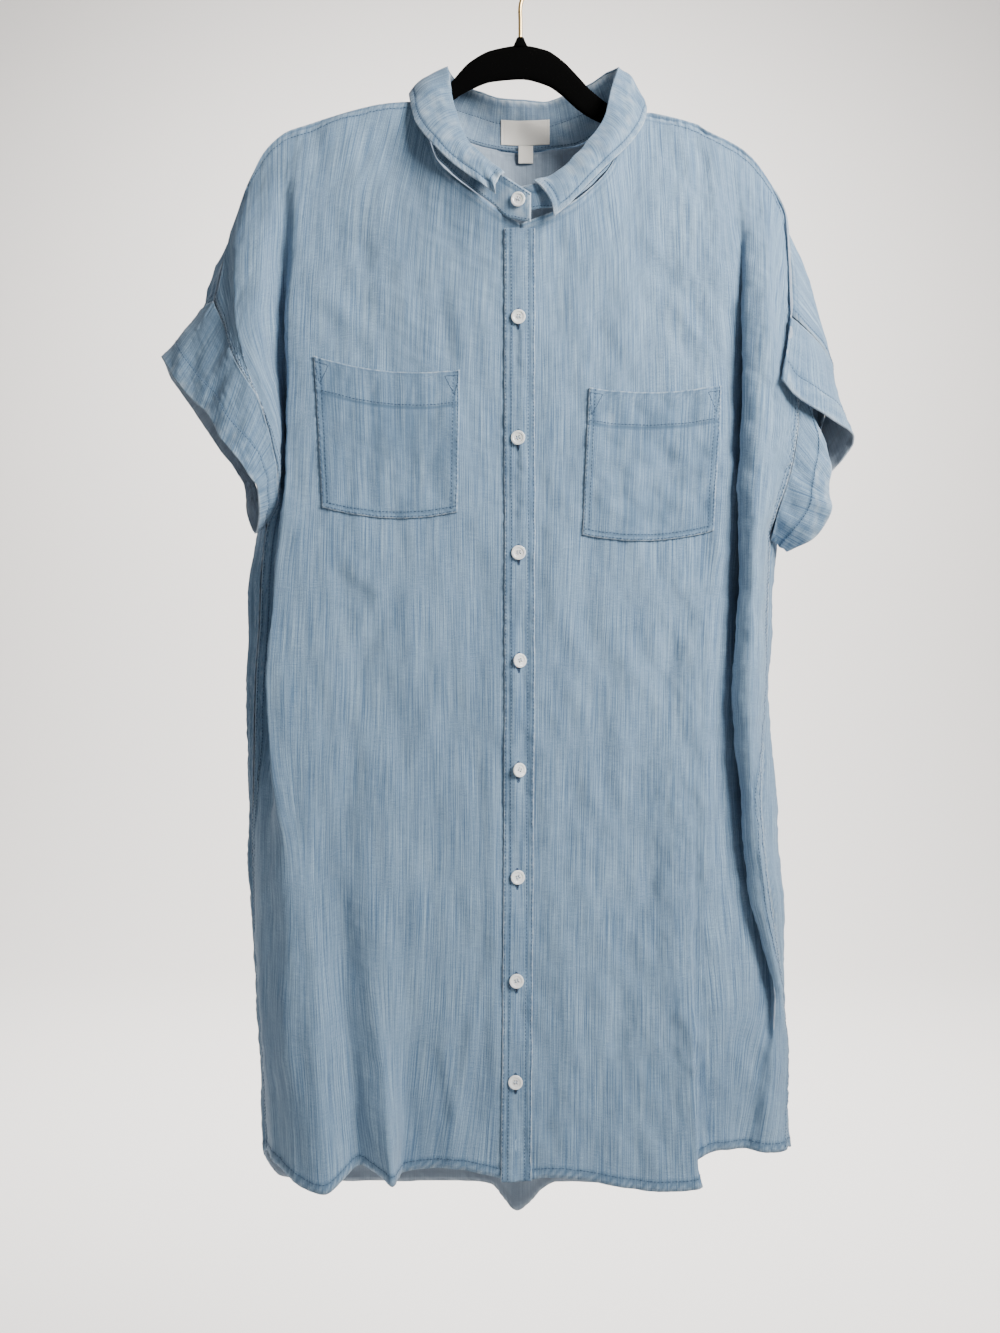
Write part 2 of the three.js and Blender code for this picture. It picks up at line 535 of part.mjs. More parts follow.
// A sleeve: from the armhole seam, which is shared with the body, to the opening. Its ring of
// lines starts part of the way down the front.
function sleeveGrid(frontSheet, frontColumn, backColumn, frontOpening, backOpening) {
  const seamFront = frontSheet.grid.slice(0, seamRows).map((row) => row[frontColumn].clone());
  const seamBack = back.grid.slice(0, seamRows).map((row) => row[backColumn].clone());
  seamFront[0].add(seamBack[0]).multiplyScalar(0.5);
  const opening = (table) => {
    const shares = table.map((row) => row[0]);
    const curves = [1, 2, 3].map((k) => smoothCurve(shares, table.map((row) => row[k])));
    return (share) => point(...curves.map((curve) => curve(share)));
  };
  const share = (seam, i) => (seam[0].z - seam[i].z) / (seam[0].z - seam[seamRows - 1].z);
  const ends = [];
  for (let i = 0; i < seamRows; i += 1) {
    ends.push([seamFront[i], opening(frontOpening)(share(seamFront, i))]);
  }
  for (let i = seamRows - 2; i > 0; i -= 1) {
    ends.push([seamBack[i], opening(backOpening)(share(seamBack, i))]);
  }
  const ring = [...ends.slice(sleeveStart), ...ends.slice(0, sleeveStart)];
  const grid = [];
  for (let k = 0; k <= sleeveRows; k += 1) {
    grid.push(ring.map(([seam, open]) => seam.clone().lerp(open, k / sleeveRows)));
  }
  return grid;
}
const sleeveRight = makeSheet(sleeveGrid(frontRight, lastRight, 0, openings.rightFront, openings.rightBack),
  { ring: true });
const sleeveLeft = makeSheet(sleeveGrid(frontLeft, lastLeft, lastBack, openings.leftFront, openings.leftBack),
  { ring: true });

[frontRight, frontLeft, back, sleeveRight, sleeveLeft].forEach((sheet) => {
  sheet.normals = gridNormals(sheet.grid, sheet.ring);
});

// Every sewn edge stops short of its seam.
const range = (from, to) => Array.from({ length: to - from + 1 }, (_, k) => from + k);
const sideOf = (sheet, j, step) => sheetEdge(sheet, range(0, lastRow).map((i) => [i, j]),
  (i) => [Math.max(i, 2), j + step]);
const ringOf = (sheet) => sheetEdge(sheet, range(0, sheet.grid[0].length - 1).map((j) => [0, j]),
  (i, j) => [1, j], true);
const seamEdges = [
  sideOf(frontRight, lastRight, -1),
  sideOf(frontLeft, lastLeft, -1),
  [...sideOf(back, 0, 1), ...sideOf(back, lastBack, -1)],
  ringOf(sleeveRight),
  ringOf(sleeveLeft),
];
seamEdges.forEach((edge, k) => pullBack(edge, seamEdges.filter((_, other) => other !== k).flat()));

addPart('front_right', wall(frontRight, clothWall), materials.chambray);
addPart('front_left', wall(frontLeft, clothWall), materials.chambray);
addPart('back', wall(back, clothWall), materials.chambray);
addPart('sleeve_right', wall(sleeveRight, clothWall), materials.chambray);
addPart('sleeve_left', wall(sleeveLeft, clothWall), materials.chambray);

// the collar
const fromRow = ([drop, x, y]) => point(drop, x, y);

// A grid between two smooth rows of points, with a rise between them.
function stripGrid(starts, ends, steps, across, rise) {
  const first = acrossFolds(starts, steps);
  const last = acrossFolds(ends, steps);
  const grid = [];
  for (let k = 0; k <= across; k += 1) {
    const share = k / across;
    grid.push(first.map((p, j) => {
      const q = p.clone().lerp(last[j], share);
      return q.addScaledVector(rise(p, last[j]), 4 * share * (1 - share));
    }));
  }
  return grid;
}
const standRows = [standEndRight, ...collarRows, standEndLeft];
const noRise = () => new THREE.Vector3();
const standTop = (row) => fromRow(row.fold).setZ(-row.fold[0] - standDrop);
const standGrid = stripGrid(standRows.map((row) => fromRow(row.seam)), standRows.map(standTop), stepsPerFold,
  standAcross, noRise);

// The stand's lower edge follows the neck edges of the body, a little above them.
const neckline = [...frontRight.grid[0].slice(0, frontNeck + 1),
  ...back.grid[0].slice(backNeckRight, backNeckLeft + 1), ...frontLeft.grid[0].slice(0, frontNeck + 1).reverse()];
standGrid[0].forEach((p, j) => {
  let nearest = null;
  for (let k = 0; k < neckline.length - 1; k += 1) {
    const foot = new THREE.Line3(neckline[k], neckline[k + 1]).closestPointToPoint(p, true, new THREE.Vector3());
    if (nearest === null || foot.distanceTo(p) < nearest.distanceTo(p)) nearest = foot;
  }
  if (j > stepsPerFold && j < standGrid[0].length - 1 - stepsPerFold) p.copy(nearest);
  const up = standGrid[1][j].clone().sub(p).normalize();
  p.addScaledVector(up, neckGap);
});
const stand = makeSheet(standGrid);
addPart('collar_stand', wall(stand, clothWall), materials.chambray);

// The leaf starts just outside the stand's top and falls over it.
const leafStarts = collarRows.map(({ fold, edge }, k) => {
  const start = fromRow(fold);
  const outward = stand.normals[standAcross][(k + 1) * stepsPerFold].clone();
  if (outward.dot(fromRow(edge).sub(start)) < 0) outward.negate();
  return start.addScaledVector(outward, clothWall + 2 * layerGap);
});
// The leaf swells away from the stand, square to its own slope.
function leafSwell(start, end) {
  const slope = end.clone().sub(start);
  const outward = slope.clone().setZ(0).normalize();
  const run = slope.dot(outward);
  return outward.multiplyScalar(-slope.z).setZ(run).normalize().multiplyScalar(leafRise);
}
const leaf = makeSheet(stripGrid(leafStarts, collarRows.map((row) => fromRow(row.edge)), stepsPerFold,
  leafAcross, (start, end) => leafSwell(start, end)));
addPart('collar', wall(leaf, clothWall), materials.chambray);

// the placket, pockets, buttons and labels, each made from the points that it lies on
const fronts = [frontRight, frontLeft];
const centreX = smoothCurve(centreFront.map((row) => row[0]), centreFront.map((row) => row[1]));
const liesOn = clothWall + layerGap;
const pocketLiesOn = clothWall + 2 * layerGap;
const placketTop = centreFront[0][0] + placketShort[0];
const placketBottom = centreFront[centreFront.length - 1][0] - placketShort[1];
const placketCells = [];
for (let i = 0; i <= placketRows; i += 1) {
  const drop = placketTop + (placketBottom - placketTop) * i / placketRows;
  placketCells.push([-0.5, 0, 0.5].map((share) => [centreX(drop) + share * placketWidth, drop]));
}
const placket = makeSheet(patchGrid(fronts, placketCells, liesOn, -1));
addPart('placket', wall(placket, clothWall), materials.chambray);

function pocketCells({ inner, outer, sag, bottomSag }) {
  const cells = [];
  for (let i = 0; i <= pocketRows; i += 1) {
    const down = i / pocketRows;
    const row = [];
    for (let j = 0; j <= pocketColumns; j += 1) {
      const across = j / pocketColumns;
      const bow = 4 * across * (1 - across) * (sag + (bottomSag - sag) * down);
      const top = THREE.MathUtils.lerp(inner[0][0], outer[0][0], across);
      const bottom = THREE.MathUtils.lerp(inner[1][0], outer[1][0], across);
      const x = THREE.MathUtils.lerp(THREE.MathUtils.lerp(inner[0][1], inner[1][1], down),
        THREE.MathUtils.lerp(outer[0][1], outer[1][1], down), across);
      row.push([x, top + (bottom - top) * down + bow]);
    }
    cells.push(row);
  }
  return cells;
}
addPart('pocket_right', wall(makeSheet(patchGrid([frontRight], pocketCells(pockets.right), pocketLiesOn, -1)),
  clothWall), materials.chambray);
addPart('pocket_left', wall(makeSheet(patchGrid([frontLeft], pocketCells(pockets.left), pocketLiesOn, -1)),
  clothWall), materials.chambray);

// A button is a disc with a rim, turned on its axis.
function buttonGeometry() {
  const radius = buttonDiameter / 2;
  const rim = radius - buttonRound - 1;
  const dish = buttonHeight - buttonDish;
  const profile = [[0, 0], [radius - buttonRound, 0], [radius, buttonRound], [radius, buttonHeight - buttonRound],
    [radius - buttonRound, buttonHeight], [rim, buttonHeight], [rim - buttonRound, dish], [0, dish]];
  return new THREE.LatheGeometry(profile.map(([r, h]) => new THREE.Vector2(r, h)), buttonSides);
}
buttonDrops.forEach((drop, k) => {
  const under = k === 0 ? [stand] : [placket];
  const x = centreX(drop) - buttonOffCentre;
  const { place, normal } = spotOn(under, x, drop, -1);
  const button = addPart(`button_${k + 1}`, buttonGeometry(), materials.button);
  button.quaternion.setFromUnitVectors(new THREE.Vector3(0, 1, 0), normal);
  button.position.copy(place.addScaledVector(normal, clothWall / 2 + (k === 0 ? 2 : 1) * seamGap));
});

const labelCells = ([left, right], [top, bottom]) => [0, 0.5, 1].map((down) => {
  const drop = top + (bottom - top) * down;
  return [0, 1 / 3, 2 / 3, 1].map((share) => [left + (right - left) * share, drop]);
});
const labelOut = -(clothWall / 2 + layerGap + labelWall / 2);
const mainLabel = makeSheet(patchGrid([stand], labelCells(mainLabelX, mainLabelDrop), labelOut, 1));
addPart('label_main', wall(mainLabel, labelWall), materials.label);
const sizeGrid = labelCells(sizeLabelX, sizeLabelDrop).map((row) => row.map(([x, drop]) => {
  const lean = (drop - sizeLabelDrop[0]) * sizeLabelLean;
  return point(drop, x, sizeLabelY - lean);
}));
addPart('label_size', wall(makeSheet(sizeGrid), labelWall), materials.label);

// the hanger: a flat body with rounded edges
const hangerShape = new THREE.Shape();
const topLine = hangerOutline.map(([top, x]) => new THREE.Vector2(x, -top - hangerEdge));
const bottomLine = hangerOutline.map(([, x, bottom]) => new THREE.Vector2(x, -bottom + hangerEdge));
[...topLine, ...bottomLine.reverse()].forEach((corner, k) => {
  if (k === 0) hangerShape.moveTo(corner.x, corner.y);
  else hangerShape.lineTo(corner.x, corner.y);
});
hangerShape.closePath();
const hangerGeometry = new THREE.ExtrudeGeometry(hangerShape, {
  depth: hangerThickness - 2 * hangerEdge,
  bevelEnabled: true,
  bevelThickness: hangerEdge,
  bevelSize: hangerEdge,
  bevelSegments: 2,
  steps: 1,
});
hangerGeometry.rotateX(Math.PI / 2);
hangerGeometry.translate(0, hangerThickness / 2 - hangerEdge, 0);
addPart('hanger_body', hangerGeometry, materials.velvet);

// The hook: up from the body, out to the right and over the rail in three quarters of a turn.
const hookCentre = hookWire / 2 - hookRadius;
const hookPoints = [new THREE.Vector3(-4, 0, hookFoot), new THREE.Vector3(-4, 0, hookFoot + 19),
  new THREE.Vector3(-4, 0, hookFoot + 34), new THREE.Vector3(0, 0, hookFoot + 42)];
for (let degrees = -55; degrees <= 195; degrees += 25) {
  const angle = THREE.MathUtils.degToRad(degrees);
  hookPoints.push(new THREE.Vector3(hookRadius * Math.cos(angle), 0, hookCentre + hookRadius * Math.sin(angle)));
}
const hookSection = new THREE.Shape();
hookSection.absarc(0, 0, hookWire / 2, 0, 2 * Math.PI, false);
addPart('hanger_hook', new THREE.ExtrudeGeometry(hookSection, {
  steps: hookSteps,
  curveSegments: hookSides,
  bevelEnabled: false,
  extrudePath: new THREE.CatmullRomCurve3(hookPoints),
}), materials.hook);

export default dress;
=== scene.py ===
import math
import bpy
import numpy as np
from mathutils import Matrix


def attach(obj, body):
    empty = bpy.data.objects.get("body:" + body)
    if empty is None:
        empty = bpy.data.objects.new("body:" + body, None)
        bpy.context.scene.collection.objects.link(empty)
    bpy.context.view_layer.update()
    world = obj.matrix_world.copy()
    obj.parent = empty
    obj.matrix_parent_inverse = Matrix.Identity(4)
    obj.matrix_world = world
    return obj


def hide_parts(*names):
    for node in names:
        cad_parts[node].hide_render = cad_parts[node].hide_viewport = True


# A short-sleeved shirt dress in blue chambray on a slim velvet hanger. Tables are in millimetres
# and meshes in metres. The origin is where the hook bears on its rail, +x is to the right seen
# from the front, +y is away from the viewer and +z is up. A drop is a distance below the origin.

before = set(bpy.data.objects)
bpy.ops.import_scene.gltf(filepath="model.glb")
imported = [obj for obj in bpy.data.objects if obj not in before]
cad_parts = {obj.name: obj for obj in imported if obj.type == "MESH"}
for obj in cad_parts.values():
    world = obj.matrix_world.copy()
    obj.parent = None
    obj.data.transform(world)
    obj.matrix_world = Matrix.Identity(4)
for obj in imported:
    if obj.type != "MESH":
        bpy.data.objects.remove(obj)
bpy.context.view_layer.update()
rng = np.random.default_rng(7)
mm = 0.001

cloth = {"wall": 1.0, "cadWall": 1.2, "seamGap": 0.3, "layerGap": 0.4, "foldRoom": 1.2, "widestBend": 2.4,
         "seamReach": 25, "armholeRows": 9, "skirtRows": 12, "firstRow": 5, "stepsPerFold": 2,
         "rowSteps": 12, "columnSteps": 6, "underarmRight": 496, "underarmLeft": 509}
hanger = {"thickness": 6, "edge": 1.2, "reach": 30, "wire": 3.6, "hookRadius": 22, "hookFoot": -83.7}

# Each fold line runs from the top edge of its panel to the hem. Rows: drop, x, y.
centreFront = [[250, -5, -39], [262, -5, -36], [311, -5, -32], [395, -5, -32], [495, -5, -33],
    [629, -5, -35], [762, -6, -36], [895, -7, -37], [1047, -8, -38]]

# The wearer's right front, from the centre to the side.
frontRightFolds = {
    "chest": [[224, -41, -36], [245, -43, -33], [311, -47, -30], [395, -50, -31], [495, -50, -33], [629, -48, -35],
      [762, -46, -36], [862, -47, -39], [945, -50, -38], [1036, -62, -34]],
    "pocket": [[189, -76, -23], [268, -84, -28], [395, -89, -29], [495, -90, -32], [629, -88, -34],
      [762, -88, -36], [862, -91, -38], [945, -97, -34], [1042, -104, -28]],
    "neckPoint": [[133, -97, -1], [250, -118, -24], [395, -122, -28], [495, -124, -31], [629, -123, -33],
      [762, -126, -36], [862, -126, -42], [942, -119, -47], [1046, -110, -51]],
    "flute": [[135, -122, -1], [250, -144, -22], [395, -147, -27], [495, -149, -30], [629, -150, -32],
      [762, -155, -34], [862, -153, -33], [947, -147, -32], [1034, -138, -32]],
    "outer": [[144, -159, -1], [250, -169, -20], [395, -173, -27], [495, -176, -30], [629, -180, -32],
      [762, -182, -35], [862, -177, -41], [943, -172, -46], [1053, -165, -50]],
    "lip": [[154, -189, -2], [223, -193, -17], [309, -198, -23], [395, -200, -26], [495, -203, -29],
      [562, -212, -31], [646, -217, -32], [729, -208, -34], [796, -196, -36], [895, -199, -38], [1047, -190, -42]],
    "valley": [[159, -204, -2], [221, -203, -13], [305, -205, -8], [389, -205, -2], [431, -202, 4], [492, -199, 3],
      [578, -202, 1], [664, -209, -1], [732, -214, -12], [798, -215, -22], [900, -217, -20], [1039, -206, -26]],
    "crown": [[180, -226, -2], [267, -222, -24], [328, -224, -33], [395, -209, -22], [442, -205, -8],
      [491, -208, 6], [560, -214, 7], [664, -220, 6], [741, -225, -4], [799, -225, -13], [901, -223, -14],
      [1036, -214, -18]],
    "ridge": [[225, -245, -3], [274, -246, -20], [320, -244, -32], [359, -234, -37], [396, -214, -33],
      [440, -208, -20], [492, -214, 2], [560, -221, 5], [664, -227, 5], [750, -231, 2], [801, -231, -2],
      [903, -227, -4], [1035, -219, -6]],
}
armholeFrontRight = [[306, -266, -10], [324, -257, -17], [344, -249, -25], [359, -245, -33],
    [379, -232, -37], [398, -221, -37], [428, -213, -31], [465, -208, -24], [479, -210, -16]]
sideRight = [[496, -222, -2], [535, -227, 2], [582, -229, 3], [647, -233, 3], [716, -234, 3],
    [768, -236, 9], [821, -235, 12], [908, -230, 14], [1037, -224, 10]]

# The wearer's left front, from the centre to the side.
frontLeftFolds = {
    "chest": [[232, 38, -38], [255, 39, -34], [311, 41, -31], [395, 42, -32], [495, 40, -33], [629, 34, -35],
      [762, 30, -36], [895, 27, -37], [1043, 25, -36]],
    "pocket": [[200, 70, -28], [277, 78, -28], [395, 79, -30], [495, 79, -32], [629, 75, -34], [762, 72, -35],
      [895, 70, -37], [1049, 70, -38]],
    "neckPoint": [[142, 104, -1], [250, 106, -24], [395, 109, -28], [495, 108, -30], [629, 105, -33],
      [762, 104, -34], [895, 103, -37], [1053, 103, -41]],
    "outer": [[147, 129, -1], [250, 132, -22], [395, 133, -27], [495, 131, -30], [629, 127, -32],
      [762, 124, -35], [895, 125, -38], [1052, 128, -43]],
    "hemFold": [[151, 143, -1], [250, 146, -20], [395, 145, -27], [495, 143, -29], [629, 139, -32],
      [762, 137, -35], [872, 137, -38], [961, 139, -42], [1049, 143, -43]],
    "hemUnder": [[153, 149, -1], [250, 151, -20], [395, 150, -27], [495, 147, -29], [629, 143, -32],
      [762, 142, -34], [873, 140, -33], [965, 138, -28], [1041, 139, -22]],
    "lip": [[157, 154, -2], [223, 161, -18], [309, 162, -24], [394, 168, -25], [508, 164, -28], [562, 157, -30],
      [646, 152, -32], [729, 150, -34], [813, 150, -35], [867, 154, -33], [940, 160, -26], [1028, 162, -16]],
    "valley": [[169, 178, -2], [239, 182, -15], [305, 187, -8], [389, 190, -1], [474, 191, 3], [578, 191, 5],
      [664, 191, 4], [750, 196, 2], [827, 206, -2], [881, 211, -9], [943, 202, -18], [1029, 187, -9]],
    "edge": [[177, 190, -2], [248, 188, -18], [309, 186, -24], [378, 182, -28], [470, 180, -29], [579, 176, -29],
      [663, 175, -29], [730, 180, -29], [806, 189, -27], [861, 201, -23], [908, 210, -21], [951, 208, -20],
      [1030, 199, -14]],
    "crown": [[195, 205, -2], [268, 203, -26], [321, 202, -35], [397, 198, -40], [480, 191, -42], [579, 187, -42],
      [679, 186, -41], [746, 188, -38], [813, 197, -33], [869, 209, -27], [917, 217, -19], [961, 217, -13],
      [1031, 212, -11]],
    "brim": [[237, 224, -8], [280, 214, -24], [325, 208, -32], [397, 214, -36], [480, 206, -34], [509, 202, -27],
      [579, 200, -28], [679, 194, -35], [746, 193, -38], [813, 201, -33], [869, 213, -23], [917, 221, -12],
      [961, 222, -7], [1031, 219, -8]],
}
armholeFrontLeft = [[325, 223, -30], [348, 223, -29], [377, 228, -26], [402, 230, -25], [436, 227, -24],
    [473, 218, -20], [493, 212, -12]]
sideLeft = [[509, 210, -2], [561, 208, -4], [638, 204, -12], [684, 199, -26], [725, 196, -35],
    [767, 199, -34], [813, 205, -30], [867, 215, -17], [894, 220, -7], [948, 224, 0], [1030, 225, -2]]

# The back, from the wearer's right to the left.
armholeBackRight = [[306, -266, -10], [310, -279, 4], [329, -280, 15], [367, -270, 21], [411, -253, 22],
    [455, -236, 18]]
armholeBackLeft = [[325, 223, -30], [333, 235, -25], [344, 256, -6], [373, 266, 12], [411, 260, 22],
    [463, 243, 22]]
backFolds = {
    "outRight": [[245, -248, -3], [279, -268, 8], [315, -281, 19], [357, -273, 27], [409, -250, 31],
      [455, -233, 27], [499, -233, 17], [530, -238, 11], [560, -239, 10], [638, -242, 10], [699, -239, 11], [752, -239, 15],
      [822, -238, 19], [910, -234, 22], [1044, -227, 20]],
    "turnRight": [[178, -227, 2], [228, -238, 18], [286, -254, 28], [347, -255, 34], [408, -243, 36],
      [470, -232, 34], [559, -231, 28], [665, -233, 28], [807, -230, 32], [913, -225, 33], [1069, -215, 34]],
    "bladeRight": [[148, -168, 1], [255, -174, 16], [384, -178, 24], [559, -178, 26], [736, -175, 28],
      [912, -172, 30], [1071, -172, 30]],
    "neckPointRight": [[133, -97, 1], [192, -105, 20], [296, -108, 26], [471, -108, 27], [735, -108, 27],
      [911, -108, 27], [1070, -109, 26]],
    "yokeRight": [[152, -50, 38], [223, -52, 32], [383, -51, 28], [559, -51, 26], [735, -51, 25], [911, -50, 24],
      [1068, -48, 22]],
    "pleatRight": [[156, -23, 47], [222, -23, 36], [383, -23, 28], [647, -24, 26], [911, -26, 24], [1070, -28, 18]],
    "centreBack": [[157, -3, 50], [221, -3, 38], [383, -4, 29], [647, -5, 26], [910, -6, 20], [1086, -7, 0]],
    "pleatLeft": [[156, 19, 48], [222, 18, 36], [383, 15, 28], [647, 15, 26], [911, 14, 24], [1074, 14, 16]],
    "yokeLeft": [[155, 48, 41], [223, 45, 32], [383, 42, 28], [559, 40, 26], [735, 38, 25], [911, 33, 25],
      [1070, 28, 24]],
    "neckPointLeft": [[141, 104, 1], [192, 110, 20], [296, 110, 26], [471, 110, 26], [735, 109, 26],
      [911, 102, 27], [1073, 93, 27]],
    "bladeLeft": [[156, 154, 1], [255, 163, 16], [384, 165, 24], [559, 160, 26], [735, 158, 26], [912, 160, 28],
      [1048, 160, 30]],
    "turnLeft": [[194, 206, 2], [229, 219, 14], [279, 233, 24], [335, 247, 30], [408, 246, 36], [461, 232, 36],
      [511, 219, 30], [577, 211, 26], [665, 208, 24], [752, 213, 22], [841, 219, 26], [921, 223, 30],
      [1034, 225, 34]],
    "outLeft": [[239, 220, -10], [265, 235, -4], [302, 250, 3], [340, 257, 11], [372, 261, 22], [414, 254, 30],
      [462, 238, 29], [508, 218, 15], [560, 213, 8], [638, 210, 3], [685, 211, -4], [732, 214, -9],
      [783, 218, -9], [835, 222, -5], [884, 223, 3], [942, 227, 10], [1033, 228, 8]],
}

# The sleeve openings. Rows: share of the way from shoulder to underarm, drop, x, y.
openings = {
    "rightFront": [[0, 366, -303, -8], [0.1, 386, -289, -18], [0.2, 402, -270, -25], [0.28, 415, -260, -33],
      [0.38, 432, -252, -40], [0.48, 445, -239, -42], [0.64, 459, -230, -39], [0.84, 473, -223, -36],
      [0.92, 489, -223, -28], [1, 504, -230, -12]],
    "rightBack": [[0, 366, -303, -8], [0.02, 350, -314, 6], [0.12, 360, -312, 20], [0.32, 388, -294, 23],
      [0.55, 429, -266, 18], [0.78, 461, -244, 14], [0.9, 489, -239, 2], [1, 504, -230, -12]],
    "leftFront": [[0, 380, 213, -40], [0.13, 392, 240, -22], [0.28, 415, 246, -17], [0.42, 442, 260, -14],
      [0.6, 467, 257, -18], [0.8, 486, 259, -22], [0.91, 511, 243, -15], [1, 519, 225, 0]],
    "leftBack": [[0, 380, 213, -40], [0.02, 390, 221, -39], [0.1, 415, 259, -25], [0.16, 420, 284, -4],
      [0.3, 432, 279, 4], [0.55, 456, 263, 20], [0.8, 478, 256, 19], [0.92, 503, 245, 13], [1, 519, 225, 0]],
}

# The collar stand and leaf, from the right end round the neck to the left end.
# Rows: drop, x and y of the neck seam, then of the fold at the top, then of the leaf's edge.
collarRows = [
    {"seam": [246, -16, -41], "fold": [209, -17, -41], "edge": [229, -25, -50]},
    {"seam": [224, -41, -36], "fold": [192, -35, -31], "edge": [217, -40, -47]},
    {"seam": [209, -58, -31], "fold": [176, -48, -25], "edge": [202, -59, -42]},
    {"seam": [189, -76, -23], "fold": [157, -56, -18], "edge": [181, -78, -34]},
    {"seam": [157, -92, -11], "fold": [131, -62, -9], "edge": [155, -94, -18]},
    {"seam": [132, -95, 0], "fold": [104, -65, 2], "edge": [124, -100, 5]},
    {"seam": [138, -89, 14], "fold": [105, -61, 16], "edge": [126, -95, 24]},
    {"seam": [147, -74, 24], "fold": [107, -53, 26], "edge": [136, -84, 42]},
    {"seam": [152, -50, 38], "fold": [107, -37, 38], "edge": [150, -58, 57]},
    {"seam": [156, -26, 47], "fold": [109, -22, 45], "edge": [158, -30, 63]},
    {"seam": [157, -3, 50], "fold": [109, -3, 48], "edge": [160, -2, 65]},
    {"seam": [156, 22, 48], "fold": [112, 19, 46], "edge": [158, 27, 63]},
    {"seam": [155, 45, 41], "fold": [109, 36, 39], "edge": [151, 55, 56]},
    {"seam": [152, 75, 26], "fold": [105, 58, 24], "edge": [137, 84, 42]},
    {"seam": [150, 93, 12], "fold": [100, 71, 14], "edge": [130, 101, 24]},
    {"seam": [144, 101, 0], "fold": [102, 79, 3], "edge": [135, 105, 6]},
    {"seam": [160, 99, -8], "fold": [124, 73, -9], "edge": [155, 101, -13]},
    {"seam": [183, 87, -20], "fold": [151, 67, -19], "edge": [181, 86, -29]},
    {"seam": [200, 70, -28], "fold": [172, 56, -27], "edge": [201, 68, -40]},
    {"seam": [218, 54, -34], "fold": [194, 39, -34], "edge": [223, 48, -46]},
    {"seam": [232, 38, -38], "fold": [208, 25, -38], "edge": [238, 35, -50]},
    {"seam": [239, 12, -41], "fold": [216, 6, -43], "edge": [248, 23, -52]},
]
standEndRight = {"seam": [252, 4, -46], "fold": [225, 4, -47]}
standEndLeft = {"seam": [243, -12, -36], "fold": [218, -11, -36]}

# The chest pockets, corners from the top centre round. Rows: drop, x.
pockets = {
    "right": {"inner": [[370, -55], [489, -57]], "outer": [[357, -178], [485, -170]], "sag": 7, "bottomSag": 7},
    "left": {"inner": [[385, 53], [508, 47]], "outer": [[382, 164], [504, 158]], "sag": 5, "bottomSag": 7},
}
buttonDrops = [232, 326, 427, 523, 613, 704, 793, 879, 963]

# The hanger's outline, along the top from the right arm to the left. Rows: drop of top, x, drop of bottom.
hangerOutline = [[187, -220, 198], [170, -206, 186], [160, -189, 178], [150, -159, 171], [141, -123, 164],
    [142, -98, 158], [138, -88, 154], [127, -73, 142], [114, -62, 131], [98, -47, 122], [88, -28, 115], [84, -3, 113],
    [88, 18, 118], [97, 32, 127], [109, 44, 138], [122, 56, 146], [134, 71, 153], [151, 102, 166],
    [154, 130, 174], [165, 158, 186], [181, 185, 201], [198, 202, 212]]


# A smooth curve through rows of values that never swings past them: a cubic between each two
# rows, level where the values turn.
def smoothCurve(stations, values):
    stations = np.asarray(stations, float)
    values = np.asarray(values, float)
    slopes = np.diff(values, axis=0) / np.diff(stations)[:, None]
    product = slopes[:-1] * slopes[1:]
    total = slopes[:-1] + slopes[1:]
    inner = np.where(product > 0, 2 * product / np.where(total == 0, 1, total), 0)
    tangents = np.vstack([slopes[:1], inner, slopes[-1:]])

    def at(station):
        station = np.atleast_1d(np.asarray(station, float))
        i = np.clip(np.searchsorted(stations, station) - 1, 0, len(stations) - 2)
        width = (stations[i + 1] - stations[i])[:, None]
        t = np.clip((station - stations[i])[:, None] / width, 0, 1)
        return ((2 * t**3 - 3 * t**2 + 1) * values[i] + (t**3 - 2 * t**2 + t) * width * tangents[i]
                + (3 * t**2 - 2 * t**3) * values[i + 1] + (t**3 - t**2) * width * tangents[i + 1])
    return at


def places(rows):
    # Table rows of drop, x and y as points.
    rows = np.asarray(rows, float)
    return np.stack([rows[:, 1], rows[:, 2], -rows[:, 0]], axis=1)


def foldLine(rows, underarm):
    # The top edge, a row just below it, then even steps to the underarm and on to the hem.
    rows = np.asarray(rows, float)
    top, hem = rows[0, 0], rows[-1, 0]
    upper = np.linspace(top + cloth["firstRow"], underarm, cloth["armholeRows"] + 1)
    lower = np.linspace(underarm, hem, cloth["skirtRows"] + 1)[1:]
    drops = np.concatenate([[top], upper, lower])
    xy = smoothCurve(rows[:, 0], rows[:, 1:])(drops)
    return np.column_stack([xy, -drops])


def acrossFolds(points, steps):
    # A smooth row of points through one point on each fold line, by distance along the row.
    points = np.asarray(points, float)
    along = np.concatenate([[0], np.cumsum(np.linalg.norm(np.diff(points, axis=0), axis=1))])
    shares = np.arange(steps) / steps
    stations = (along[:-1, None] + np.diff(along)[:, None] * shares).ravel()
    return smoothCurve(along, points)(np.append(stations, along[-1]))


def panelGrid(folds, underarmFirst, underarmLast):
    shares = np.linspace(0, 1, len(folds))
    lines = [foldLine(rows, underarmFirst + (underarmLast - underarmFirst) * share)
             for rows, share in zip(folds, shares)]
    return np.array([acrossFolds(row, cloth["stepsPerFold"]) for row in np.stack(lines, axis=1)])


def gridNormals(grid, ring=False):
    # Square to the lines through each point's neighbours, across times down.
    down = np.concatenate([grid[1:], grid[-1:]]) - np.concatenate([grid[:1], grid[:-1]])
    if ring:
        across = np.roll(grid, -1, axis=1) - np.roll(grid, 1, axis=1)
    else:
        across = np.concatenate([grid[:, 1:], grid[:, -1:]], axis=1) - np.concatenate(
            [grid[:, :1], grid[:, :-1]], axis=1)
    normal = np.cross(across, down)
    return normal / np.maximum(np.linalg.norm(normal, axis=2, keepdims=True), 1e-9)


